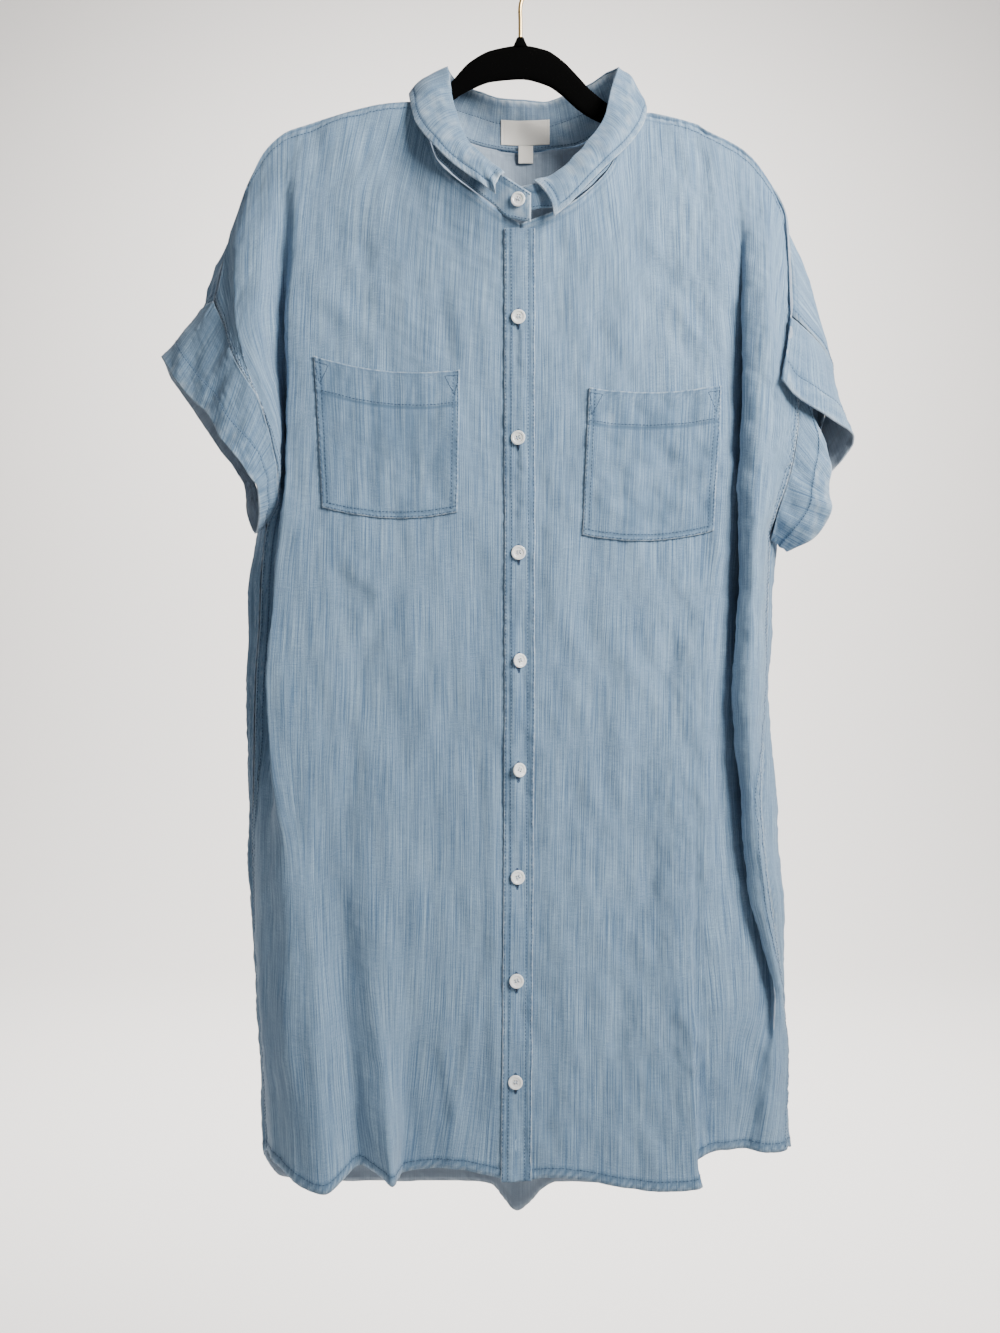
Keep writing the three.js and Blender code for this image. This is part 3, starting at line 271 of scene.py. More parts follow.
def finer(grid, rowSteps, columnSteps, ring=False):
    # The same surface with more rows and columns, smooth through the coarse points.
    count = grid.shape[1]
    if ring:
        grid = np.concatenate([grid[:, -2:], grid, grid[:, :3]], axis=1)
    rows, columns = grid.shape[:2]
    down = smoothCurve(np.arange(rows), grid.reshape(rows, -1))
    fine = down(np.linspace(0, rows - 1, (rows - 1) * rowSteps + 1)).reshape(-1, columns, 3)
    turned = fine.transpose(1, 0, 2).reshape(columns, -1)
    across = smoothCurve(np.arange(columns), turned)
    if ring:
        stations = 2 + np.arange(count * columnSteps) / columnSteps
    else:
        stations = np.linspace(0, columns - 1, (columns - 1) * columnSteps + 1)
    return across(stations).reshape(len(stations), -1, 3).transpose(1, 0, 2)


def blurred(grid, times, ring=False):
    # Each inner point moves to the mean of itself and its neighbours; the edges stay.
    for _ in range(times):
        middle = grid.copy()
        middle[1:-1] = 0.5 * grid[1:-1] + 0.25 * (grid[2:] + grid[:-2])
        if ring:
            grid = 0.5 * middle + 0.25 * (np.roll(middle, 1, axis=1) + np.roll(middle, -1, axis=1))
        else:
            grid = middle.copy()
            grid[:, 1:-1] = 0.5 * middle[:, 1:-1] + 0.25 * (middle[:, 2:] + middle[:, :-2])
    return grid

# the body's coarse surfaces, with the seams of the CAD
frontRight = panelGrid([centreFront, *frontRightFolds.values(), armholeFrontRight + sideRight],
                       cloth["underarmRight"], cloth["underarmRight"])
frontLeft = panelGrid([centreFront, *frontLeftFolds.values(), armholeFrontLeft + sideLeft],
                      cloth["underarmLeft"], cloth["underarmLeft"])
back = panelGrid([armholeBackRight + sideRight, *backFolds.values(), armholeBackLeft + sideLeft],
                 cloth["underarmRight"], cloth["underarmLeft"])
steps = cloth["stepsPerFold"]
seamRows = cloth["armholeRows"] + 2
lastRight = frontRight.shape[1] - 1
lastLeft = frontLeft.shape[1] - 1
lastBack = back.shape[1] - 1
frontNeck = 3 * steps
backNeckRight = 4 * steps
backNeckLeft = lastBack - 4 * steps
tipRight = lastRight - 2 * steps
tipLeft = lastLeft - 2 * steps
backTip = 2 * steps


# The back takes the shoulder seam's line from the fronts' top edges: by x over the hanger, and
# by drop beyond its tip, where the seam runs down.
def followShoulder(front, first, last, tip, backFirst, backLast):
    seam = front[0, first:last + 1].copy()
    tipPoint = front[0, tip]
    for j in range(backFirst, backLast + 1):
        p = back[0, j]
        beyondTip = abs(p[0]) > abs(tipPoint[0]) and p[2] < tipPoint[2]
        measures = -seam[:, 2] if beyondTip else np.abs(seam[:, 0])
        own = -p[2] if beyondTip else abs(p[0])
        reached = np.nonzero(measures[1:] >= own)[0]
        k = min(reached[0] if len(reached) else len(seam) - 2, len(seam) - 2)
        share = np.clip((own - measures[k]) / (measures[k + 1] - measures[k]), 0, 1)
        back[0, j] = seam[k] + (seam[k + 1] - seam[k]) * share


followShoulder(frontRight, frontNeck, lastRight, tipRight, 0, backNeckRight)
followShoulder(frontLeft, frontNeck, lastLeft, tipLeft, backNeckLeft, lastBack)

# Over the hanger the seam's two edges lie back to back, and beyond its tips the back's edge
# stands off outward too.
shoulderShift = (cloth["cadWall"] + cloth["layerGap"]) / 2
overHanger = (np.arange(lastBack + 1) < backNeckRight) | (np.arange(lastBack + 1) > backNeckLeft)
back[0, overHanger, 1] += shoulderShift
for front, tip in ((frontRight, tipRight), (frontLeft, tipLeft)):
    front[0, frontNeck + 1:, 1] -= shoulderShift
    front[0, tip + 1:, 0] -= np.sign(front[0, tip + 1:, 0]) * shoulderShift
for first, last in ((1, backTip - 1), (lastBack - backTip + 1, lastBack - 1)):
    back[0, first:last + 1, 0] += np.sign(back[0, first:last + 1, 0]) * shoulderShift


# Cloth over the hanger's arm stands off far enough to clear it.
def clearHanger(grid, side, first, last):
    standOff = hanger["thickness"] / 2 + cloth["layerGap"] + cloth["cadWall"] / 2
    below = grid[0, :, 2] - grid[:, :, 2]
    fade = np.exp(-below / 1.6)
    least = standOff * (1 - fade) + shoulderShift * fade
    columns = np.arange(grid.shape[1])
    near = (columns >= first) & (columns <= last) & (below <= hanger["reach"])
    grid[..., 1] = np.where(near, side * np.maximum(side * grid[..., 1], least), grid[..., 1])


clearHanger(frontRight, -1, frontNeck, tipRight)
clearHanger(frontLeft, -1, frontNeck, tipLeft)
clearHanger(back, 1, backTip, backNeckRight)
clearHanger(back, 1, backNeckLeft, lastBack - backTip)
frontRight[:, 0, 0] -= cloth["seamGap"] / 2
frontLeft[:, 0, 0] += cloth["seamGap"] / 2


# A sleeve: a ring of lines from the armhole seam, shared with the body, to the opening.
def sleeveGrid(front, frontColumn, backColumn, frontOpening, backOpening):
    seamFront = front[:seamRows, frontColumn].copy()
    seamBack = back[:seamRows, backColumn].copy()
    seamFront[0] = (seamFront[0] + seamBack[0]) / 2

    def opening(table, seam):
        table = np.asarray(table, float)
        share = (seam[0, 2] - seam[:, 2]) / (seam[0, 2] - seam[-1, 2])
        found = smoothCurve(table[:, 0], table[:, 1:])(share)
        return places(found)
    openFront = opening(frontOpening, seamFront)
    openBack = opening(backOpening, seamBack)
    seam = np.concatenate([seamFront, seamBack[-2:0:-1]])
    openEdge = np.concatenate([openFront, openBack[-2:0:-1]])
    shares = np.linspace(0, 1, 4)[:, None, None]
    return seam * (1 - shares) + openEdge * shares


sleeveRight = sleeveGrid(frontRight, lastRight, 0, openings["rightFront"], openings["rightBack"])
sleeveLeft = sleeveGrid(frontLeft, lastLeft, lastBack, openings["leftFront"], openings["leftBack"])


# An edge's points, with the direction that leads from each into its sheet, square to the edge.
def sheetEdge(grid, rows, columns, innerRows, innerColumns, closed=False):
    p = grid[rows, columns].copy()
    if closed:
        along = np.roll(p, -1, axis=0) - np.roll(p, 1, axis=0)
    else:
        along = np.concatenate([p[1:], p[-1:]]) - np.concatenate([p[:1], p[:-1]])
    along /= np.linalg.norm(along, axis=1, keepdims=True)
    inward = grid[innerRows, innerColumns] - p
    inward -= along * np.sum(inward * along, axis=1, keepdims=True)
    inward /= np.linalg.norm(inward, axis=1, keepdims=True)
    return {"grid": grid, "rows": rows, "columns": columns, "p": p, "inward": inward}


def sideOf(grid, column, step):
    rows = np.arange(grid.shape[0])
    columns = np.full(len(rows), column)
    return sheetEdge(grid, rows, columns, np.maximum(rows, 2), columns + step)


def ringOf(grid):
    columns = np.arange(grid.shape[1])
    zeros = np.zeros(len(columns), int)
    return sheetEdge(grid, zeros, columns, zeros + 1, columns, closed=True)


# Moves a sewn edge back from its seam by half the gap, and further where the pieces fold
# against each other.
def pullBack(edge, others):
    for k, (p, inward) in enumerate(zip(edge["p"], edge["inward"])):
        distance = cloth["seamGap"] / 2
        for other in others:
            apart = np.linalg.norm(other["p"] - p, axis=1)
            end = np.argmin(apart)
            if apart[end] >= cloth["seamReach"]:
                continue
            turn = math.acos(np.clip(inward @ other["inward"][end], -1, 1))
            bend = min(math.pi - turn, cloth["widestBend"])
            room = cloth["foldRoom"] * cloth["cadWall"] / 2 * math.tan(bend / 2)
            distance = max(distance, cloth["seamGap"] / 2 + room)
        edge["grid"][edge["rows"][k], edge["columns"][k]] += inward * distance


edges = [[sideOf(frontRight, lastRight, -1)], [sideOf(frontLeft, lastLeft, -1)],
         [sideOf(back, 0, 1), sideOf(back, lastBack, -1)], [ringOf(sleeveRight)], [ringOf(sleeveLeft)]]
for own in edges:
    rest = [edge for group in edges if group is not own for edge in group]
    for edge in own:
        pullBack(edge, rest)
print("seams placed")


# A grid between two smooth rows of points, swollen by a rise in the middle.
def stripGrid(starts, ends, across, rise=None):
    first = acrossFolds(starts, steps)
    last = acrossFolds(ends, steps)
    shares = np.linspace(0, 1, across + 1)[:, None, None]
    swell = 0 if rise is None else rise(first, last) * 4 * shares * (1 - shares)
    return first * (1 - shares) + last * shares + swell


collar = {"standDrop": 2.2, "neckGap": 1.2, "leafRise": 4, "standAcross": 2, "leafAcross": 4}
seamRow = places([standEndRight["seam"], *[row["seam"] for row in collarRows], standEndLeft["seam"]])
foldRow = places([standEndRight["fold"], *[row["fold"] for row in collarRows], standEndLeft["fold"]])
stand = stripGrid(seamRow, foldRow - [0, 0, collar["standDrop"]], collar["standAcross"])

# The stand's lower edge follows the neck edges of the body, a little above them.
neckline = np.concatenate([frontRight[0, :frontNeck + 1], back[0, backNeckRight:backNeckLeft + 1],
                           frontLeft[0, frontNeck::-1]])
for j in range(steps + 1, stand.shape[1] - 1 - steps):
    start, run = neckline[:-1], np.diff(neckline, axis=0)
    share = np.clip(np.sum((stand[0, j] - start) * run, axis=1) / np.sum(run * run, axis=1), 0, 1)
    feet = start + run * share[:, None]
    stand[0, j] = feet[np.argmin(np.linalg.norm(feet - stand[0, j], axis=1))]
up = stand[1] - stand[0]
stand[0] += up / np.linalg.norm(up, axis=1, keepdims=True) * collar["neckGap"]


# The leaf starts just outside the stand's top, swells away from it and falls over it.
def leafSwell(starts, ends):
    slope = ends - starts
    flat = slope * [1, 1, 0]
    outward = flat / np.linalg.norm(flat, axis=1, keepdims=True)
    swell = -outward * slope[:, 2:] + np.sum(slope * outward, axis=1, keepdims=True) * [0, 0, 1]
    return swell / np.linalg.norm(swell, axis=1, keepdims=True) * collar["leafRise"]


leafEnds = places([row["edge"] for row in collarRows])
leafStarts = foldRow[1:-1]
away = gridNormals(stand)[-1, steps:-steps:steps]
away *= np.sign(np.sum(away * (leafEnds - leafStarts), axis=1, keepdims=True))
leafStarts = leafStarts + away * (cloth["cadWall"] + 2 * cloth["layerGap"])
leaf = stripGrid(leafStarts, leafEnds, collar["leafAcross"], leafSwell)


# materials
def newMaterial(name, colour, roughness, metallic=0.0):
    material = bpy.data.materials.new(name)
    material.use_nodes = True
    shader = material.node_tree.nodes["Principled BSDF"]
    shader.inputs["Base Color"].default_value = (*colour, 1)
    shader.inputs["Roughness"].default_value = roughness
    shader.inputs["Metallic"].default_value = metallic
    return material, material.node_tree, shader


def addNode(tree, kind, inputs=None, **settings):
    node = tree.nodes.new(kind)
    for key, value in settings.items():
        setattr(node, key, value)
    for key, value in (inputs or {}).items():
        if isinstance(value, bpy.types.NodeSocket):
            tree.links.new(value, node.inputs[key])
        else:
            node.inputs[key].default_value = value
    return node


def colourMix(tree, factor, a, b, blend="MIX"):
    return addNode(tree, "ShaderNodeMixRGB", {"Fac": factor, "Color1": a, "Color2": b},
                   blend_type=blend).outputs["Color"]


def ramp(tree, value, stops):
    node = addNode(tree, "ShaderNodeValToRGB", {"Fac": value})
    while len(node.color_ramp.elements) < len(stops):
        node.color_ramp.elements.new(0.5)
    for element, (place, shade) in zip(node.color_ramp.elements, stops):
        element.position = place
        element.color = (shade, shade, shade, 1) if np.isscalar(shade) else (*shade, 1)
    return node.outputs["Color"]


# Colours: pale is the painted highlight, the deep blue the painted shade, inside the cloth's wrong side.
chambrayLook = {"dark": (0.058, 0.130, 0.232), "light": (0.250, 0.370, 0.495), "pale": (0.52, 0.60, 0.67),
                "paintedShade": (0.055, 0.115, 0.195), "inside": (0.38, 0.43, 0.50), "thread": (0.022, 0.055, 0.110),
                "roughness": 0.92}


# Chambray: long thin slubs down the cloth, shorter ones across it, a fine weave in the bump, and
# painted light and shade carried by each piece: paler as painted highlight on ridges and edges,
# deeper blue as painted shade in grooves. The pattern runs on the piece's own UV map, in metres.
def chambrayMaterial():
    look = chambrayLook
    material, tree, shader = newMaterial("chambray", look["light"], look["roughness"])
    uv = addNode(tree, "ShaderNodeUVMap", uv_map="cut").outputs["UV"]

    def streaks(across, along, detail):
        scaled = addNode(tree, "ShaderNodeMapping", {"Vector": uv, "Scale": (across, along, 1)})
        return addNode(tree, "ShaderNodeTexNoise", {"Vector": scaled.outputs["Vector"], "Scale": 1.0,
                       "Detail": detail, "Roughness": 0.6}).outputs["Fac"]
    longSlubs = ramp(tree, streaks(1150, 16, 3), [(0.34, 0.0), (0.66, 1.0)])
    wideSlubs = ramp(tree, streaks(680, 8, 3), [(0.32, 0.0), (0.68, 1.0)])
    crossSlubs = ramp(tree, streaks(90, 1300, 2), [(0.38, 0.0), (0.62, 1.0)])
    flecks = ramp(tree, streaks(2600, 900, 2), [(0.36, 0.0), (0.64, 1.0)])
    patches = ramp(tree, streaks(9, 6, 2), [(0.3, 0.0), (0.7, 1.0)])
    colour = colourMix(tree, longSlubs, (*look["dark"], 1), (*look["light"], 1))
    middle = tuple((a + b) / 2 for a, b in zip(look["dark"], look["light"]))
    colour = colourMix(tree, 0.22, colour, (*middle, 1))
    grain = colourMix(tree, flecks, (0.75, 0.78, 0.82, 1), (1.27, 1.24, 1.20, 1))
    colour = colourMix(tree, 1.0, colour, grain, "MULTIPLY")
    tint = colourMix(tree, wideSlubs, (0.77, 0.81, 0.86, 1), (1.24, 1.20, 1.16, 1))
    colour = colourMix(tree, 1.0, colour, tint, "MULTIPLY")
    fine = colourMix(tree, crossSlubs, (0.90, 0.91, 0.93, 1), (1.08, 1.07, 1.06, 1))
    colour = colourMix(tree, 1.0, colour, fine, "MULTIPLY")
    broad = colourMix(tree, patches, (0.92, 0.93, 0.945, 1), (1.07, 1.06, 1.05, 1))
    colour = colourMix(tree, 1.0, colour, broad, "MULTIPLY")
    # painted highlight: paler where the piece's painted light and shade is above nothing
    paintedLight = addNode(tree, "ShaderNodeAttribute", attribute_name="paintedLight").outputs["Fac"]
    colour = colourMix(tree, paintedLight, colour, (*look["pale"], 1))
    # painted shade: deeper blue where it is below nothing
    paintedShade = addNode(tree, "ShaderNodeAttribute", attribute_name="paintedShade").outputs["Fac"]
    colour = colourMix(tree, paintedShade, colour, (*look["paintedShade"], 1))
    within = addNode(tree, "ShaderNodeAttribute", attribute_name="within").outputs["Fac"]
    wrongSide = colourMix(tree, 0.55, colour, (*look["inside"], 1))
    colour = colourMix(tree, within, colour, wrongSide)
    tree.links.new(colour, shader.inputs["Base Color"])
    weave = addNode(tree, "ShaderNodeMapping", {"Vector": uv, "Scale": (1500, 1500, 1)}).outputs["Vector"]
    threads = addNode(tree, "ShaderNodeTexNoise", {"Vector": weave, "Scale": 1.0, "Detail": 1.0}).outputs["Fac"]
    fineBump = addNode(tree, "ShaderNodeBump", {"Height": threads, "Strength": 0.25, "Distance": 0.0003})
    slubBump = addNode(tree, "ShaderNodeBump", {"Height": longSlubs, "Strength": 0.3, "Distance": 0.0003,
                       "Normal": fineBump.outputs["Normal"]})
    tree.links.new(slubBump.outputs["Normal"], shader.inputs["Normal"])
    shader.inputs["Sheen Weight"].default_value = 0.12
    shader.inputs["Sheen Roughness"].default_value = 0.6
    return material


chambray = chambrayMaterial()


# A closed wall about a grid: outer and inner surfaces half a wall either side, joined at the rims.
# The UV map holds metres across and down the cut. All arrays have one value for each grid point.
# Above nothing, the painted light and shade makes the cloth paler as painted highlight; below it, deeper blue as
# painted shade.
def clothPiece(name, node, grid, normals, thickness, paintedLight, ring=False, material=None, wrongSide=1.0):
    rows, columns = grid.shape[:2]
    outer = grid + normals * thickness[..., None] / 2
    inner = grid - normals * thickness[..., None] / 2
    across = np.linalg.norm(np.diff(grid, axis=1), axis=2).mean(axis=0)
    down = np.linalg.norm(np.diff(grid, axis=0), axis=2).mean(axis=1)
    u = np.concatenate([[0], np.cumsum(across)]) * mm
    v = -np.concatenate([[0], np.cumsum(down)]) * mm
    points = np.concatenate([outer.reshape(-1, 3), inner.reshape(-1, 3)]) * mm
    i, j = np.meshgrid(np.arange(rows - 1), np.arange(columns if ring else columns - 1), indexing="ij")
    a = (i * columns + j).ravel()
    b = (i * columns + (j + 1) % columns).ravel()
    c, d = b + columns, a + columns
    count = rows * columns
    quads = [np.stack([a, b, c, d], axis=1), np.stack([a, d, c, b], axis=1) + count]
    js = np.arange(columns if ring else columns - 1)
    nextJs = (js + 1) % columns
    last = (rows - 1) * columns
    quads.append(np.stack([js, js + count, nextJs + count, nextJs], axis=1))
    quads.append(np.stack([js, nextJs, nextJs + count, js + count], axis=1) + last)
    if not ring:
        starts = np.arange(rows - 1) * columns
        quads.append(np.stack([starts, starts + columns, starts + columns + count, starts + count], axis=1))
        quads.append(np.stack([starts, starts + count, starts + columns + count, starts + columns],
                              axis=1) + columns - 1)
    faces = np.concatenate(quads)
    p, q, r, s = (points[faces[:, k]] for k in range(4))
    volume = np.sum(p * np.cross(q, r)) + np.sum(p * np.cross(r, s))
    if volume < 0:
        faces = faces[:, ::-1]
    uv = np.stack(np.broadcast_arrays(u[None, :], v[:, None]), axis=2).reshape(-1, 2)
    uv = np.concatenate([uv, uv])
    # the painted light and shade goes in as two attributes: highlight where above nothing, shade where below
    return finishMesh(name, [node], points, faces, material or chambray, uv,
                      {"paintedLight": np.clip(np.tile(paintedLight.ravel(), 2), 0, 0.85),
                       "paintedShade": np.clip(-np.tile(paintedLight.ravel(), 2), 0, 0.8),
                       "within": np.repeat([0.0, wrongSide], count)})


def finishMesh(name, nodes, points, faces, material, uv=None, attributes=None, smooth=True):
    mesh = bpy.data.meshes.new(name)
    mesh.from_pydata(points.tolist(), [], faces.tolist())
    if uv is not None:
        layer = mesh.uv_layers.new(name="cut")
        corners = np.empty(len(mesh.loops), int)
        mesh.loops.foreach_get("vertex_index", corners)
        layer.data.foreach_set("uv", uv[corners].astype(np.float32).ravel())
    for key, values in (attributes or {}).items():
        mesh.attributes.new(key, "FLOAT", "POINT").data.foreach_set("value", values.astype(np.float32))
    mesh.shade_smooth() if smooth else mesh.shade_flat()
    mesh.materials.append(material)
    piece = bpy.data.objects.new(name, mesh)
    bpy.context.collection.objects.link(piece)
    if nodes:
        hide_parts(*nodes)
    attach(piece, "root")
    return piece


# Waves in random directions, about the given lengths apart, that add up to about one.
def softWaves(x, z, lengthX, lengthZ, count=12):
    kx = rng.normal(0, 1 / lengthX, count)
    kz = rng.normal(0, 1 / lengthZ, count)
    phase = rng.uniform(0, 2 * math.pi, count)
    total = np.zeros(np.shape(x))
    for a, b, c in zip(kx, kz, phase):
        total += np.sin(2 * math.pi * (a * x + b * z) + c)
    return total / math.sqrt(count / 2)


# Creases, listed one by one. Rows: x and drop of one end, x and drop of the other, half width and rise.
# Each is a bell across its line, with a shallow trough beside it, that fades at its ends.
def creaseField(x, drop, rows):
    total = np.zeros(np.shape(x))
    for x1, drop1, x2, drop2, width, rise in rows:
        length = math.hypot(x2 - x1, drop2 - drop1)
        ax, az = (x2 - x1) / length, (drop2 - drop1) / length
        along = ((x - x1) * ax + (drop - drop1) * az) / length
        beside = -(x - x1) * az + (drop - drop1) * ax
        fade = np.clip(np.minimum(along, 1 - along) / 0.3 + 0.35, 0, 1)
        fade = fade * fade * (3 - 2 * fade)
        bell = np.exp(-(beside / width)**2) - 0.45 * np.exp(-((beside - 1.7 * width) / width)**2)
        total += rise * fade * bell
    return total


def arcLengths(grid):
    # Distance across and down each row and column, and the distances left to the far edges.
    across = np.linalg.norm(np.diff(grid, axis=1), axis=2)
    down = np.linalg.norm(np.diff(grid, axis=0), axis=2)
    s = np.concatenate([np.zeros((grid.shape[0], 1)), np.cumsum(across, axis=1)], axis=1)
    t = np.concatenate([np.zeros((1, grid.shape[1])), np.cumsum(down, axis=0)])
    return s, s[:, -1:] - s, t, t[-1:] - t


# Small uneven ripples beside a sewn edge, that die away from it.
def puckers(distance, along, reach, pitch, height):
    uneven = softWaves(along, distance, 60, 60)
    return height * np.exp(-distance / reach) * np.sin(2 * math.pi * along / pitch + 1.6 * uneven) * (
        0.6 + 0.4 * softWaves(along, distance * 0, 35, 35))


def smoothStep(value, low, high):
    t = np.clip((value - low) / (high - low), 0, 1)
    return t * t * (3 - 2 * t)


# The body's panels. A panel is refined from its coarse grid, then moved along its own normals by
# soft unevenness, creases, puckered seams and the turned hem.
panels = {
    "hem": 9, "hemRise": 0.55, "ropePitch": 7.5, "ropeRise": 0.35, "seamReach": 10, "seamPitch": 6.5,
    "seamRise": 0.7, "unevenRise": 1.0, "fineRise": 0.2, "pleat": (-23, 18), "pleatRise": 1.3, "creaseRise": 1.5,
}
# Creases on each panel, seen from its own side. Rows: x, drop, x, drop, half width, rise.
frontRightCreases = [
    [-70, 930, -58, 1000, 5, 1.6], [-33, 865, -62, 1010, 5, 1.2], [-110, 560, -150, 640, 9, -1.0],
    [-60, 610, -95, 700, 10, 0.9], [-160, 520, -120, 560, 8, 1.0], [-140, 700, -175, 800, 12, -1.2],
    [-30, 690, -26, 820, 7, 1.4], [-28, 820, -24, 985, 7, 1.3], [-95, 800, -85, 900, 9, 0.9],
    [-175, 300, -120, 350, 9, 1.0], [-150, 250, -110, 300, 10, -0.9], [-60, 300, -45, 400, 8, 0.8],
]
frontLeftCreases = [
    [118, 790, 95, 860, 7, 1.3], [60, 560, 95, 640, 10, 0.9], [45, 640, 60, 760, 9, 0.8],
    [70, 700, 50, 800, 9, -0.9], [125, 900, 150, 940, 6, 1.2], [30, 870, 45, 960, 8, 0.8],
    [120, 300, 150, 350, 8, 1.1], [95, 250, 140, 290, 9, 0.9], [140, 560, 110, 640, 9, -1.0],
    [100, 880, 85, 960, 9, 0.9], [35, 300, 50, 400, 8, 0.7], [20, 500, 26, 600, 6, 0.9],
]
backCreases = [
    [-120, 300, -60, 420, 12, 1.1], [110, 310, 60, 430, 12, 1.1], [-160, 480, -110, 640, 12, -1.2],
    [150, 500, 100, 660, 12, -1.1], [-90, 620, -60, 800, 10, 1.1], [80, 640, 55, 830, 10, 1.0],
    [-150, 820, -120, 980, 9, 1.3], [140, 830, 110, 990, 9, 1.2], [-40, 860, -25, 1010, 8, 1.1],
    [30, 780, 45, 940, 8, 1.0], [-190, 360, -150, 420, 8, 1.2], [185, 370, 145, 430, 8, 1.2],
]


def facing(grid, ring=False, towards=None):
    # Normals turned outward: away from the middle of the body, or the way that is asked for.
    normals = gridNormals(grid, ring)
    away = grid - [0, 0, 0] if towards is None else np.broadcast_to(towards, grid.shape)
    return normals * np.sign(np.sum(normals * away * [0.2, 1, 0] if towards is None else normals * away))


def dressPanel(name, coarse, creases, outward, sewnSides, gathered=0):
    grid = blurred(finer(coarse, cloth["rowSteps"], cloth["columnSteps"]), 2)
    normals = facing(grid, towards=outward)
    x, drop = grid[..., 0], -grid[..., 2]
    left, right, above, below = arcLengths(grid)
    move = panels["unevenRise"] * softWaves(x, drop, 75, 190)
    move += 0.4 * softWaves(x, drop, 30, 60) + panels["creaseRise"] * creaseField(x, drop, creases)
    move += panels["fineRise"] * softWaves(x, drop, 9, 16, 16)
    paintedLight = np.zeros(x.shape)
    sewn = {"first": (left, above), "last": (right, above), "top": (above, left)}
    away = np.full(x.shape, 1e3)
    for side in sewnSides:
        distance, along = sewn[side]
        move += puckers(distance, along, panels["seamReach"], panels["seamPitch"], panels["seamRise"])
        away = np.minimum(away, distance)
        # Painted light and shade along sewn edges: a pale painted highlight at the edge, painted shade in the groove
        # beside it and at the stitch line, and pale and dark mottling over the puckers.
        mottle = np.sin(2 * math.pi * along / panels["seamPitch"] + 2.2 * softWaves(along, distance, 45, 45))
        paintedLight += 0.34 * np.exp(-distance / 1.4) - 0.5 * np.exp(-((distance - 1.9) / 1.0)**2)
        paintedLight -= (0.50 + 0.15 * mottle) * np.exp(-((distance - 7.2) / 1.1)**2)
        paintedLight += 0.26 * mottle * smoothStep(-distance, -13, -1)
    if gathered:
        armhole = smoothStep(-drop, -520, -470) * smoothStep(drop, 250, 300)
        move += gathered * armhole * puckers(right, above, 26, 11, 1.0)
    move *= smoothStep(away, 0, 3)
    if name == "cloth_back":
        edges = smoothStep(x, panels["pleat"][0] - 1, panels["pleat"][0] + 1)
        edges *= 1 - smoothStep(x, panels["pleat"][1] - 1, panels["pleat"][1] + 1)
        folded = smoothStep(-drop, -620, -240)
        move += panels["pleatRise"] * edges * folded
        # Painted shade along the pleat's folded edges.
        steep = 4 * edges * (1 - edges)
        paintedLight -= 0.5 * steep * folded
    hemmed = smoothStep(-below, -panels["hem"], -panels["hem"] + 1.6)
    rope = np.sin(2 * math.pi * (left + 0.9 * below) / panels["ropePitch"] + softWaves(left, below, 50, 50))
    move += hemmed * (panels["hemRise"] / 2 + panels["ropeRise"] * rope)
    # Painted light and shade at the hem: pale at its folded edge, pale and dark with the roping, a little darker over
    # the hem, and painted shade in the groove at its top.
    paintedLight += 0.30 * np.exp(-below / 1.2) + hemmed * (0.40 * rope - 0.28)
    paintedLight -= 0.6 * np.exp(-((below - panels["hem"] + 1) / 1.3)**2)
    thickness = cloth["wall"] + hemmed * panels["hemRise"]
    shaped = grid + normals * move[..., None]
    normals = facing(shaped, towards=outward)
    clothPiece(name, node=name.replace("cloth_", ""), grid=shaped, normals=normals, thickness=thickness,
               paintedLight=paintedLight)
    return {"grid": shaped, "normals": normals, "thickness": thickness}


fineRight = dressPanel("cloth_front_right", frontRight, frontRightCreases, (0, -1, 0), ("last", "top"))
fineLeft = dressPanel("cloth_front_left", frontLeft, frontLeftCreases, (0, -1, 0), ("last", "top"), 1.2)
fineBack = dressPanel("cloth_back", back, backCreases, (0, 1, 0), ("first", "last", "top"))
print("body panels made")


# The sleeves: a ring of cloth each, puckered at the armhole, with a turned hem at the opening.
sleeves = {"hem": 20, "hemRise": 0.5, "rowSteps": 16, "columnSteps": 8}


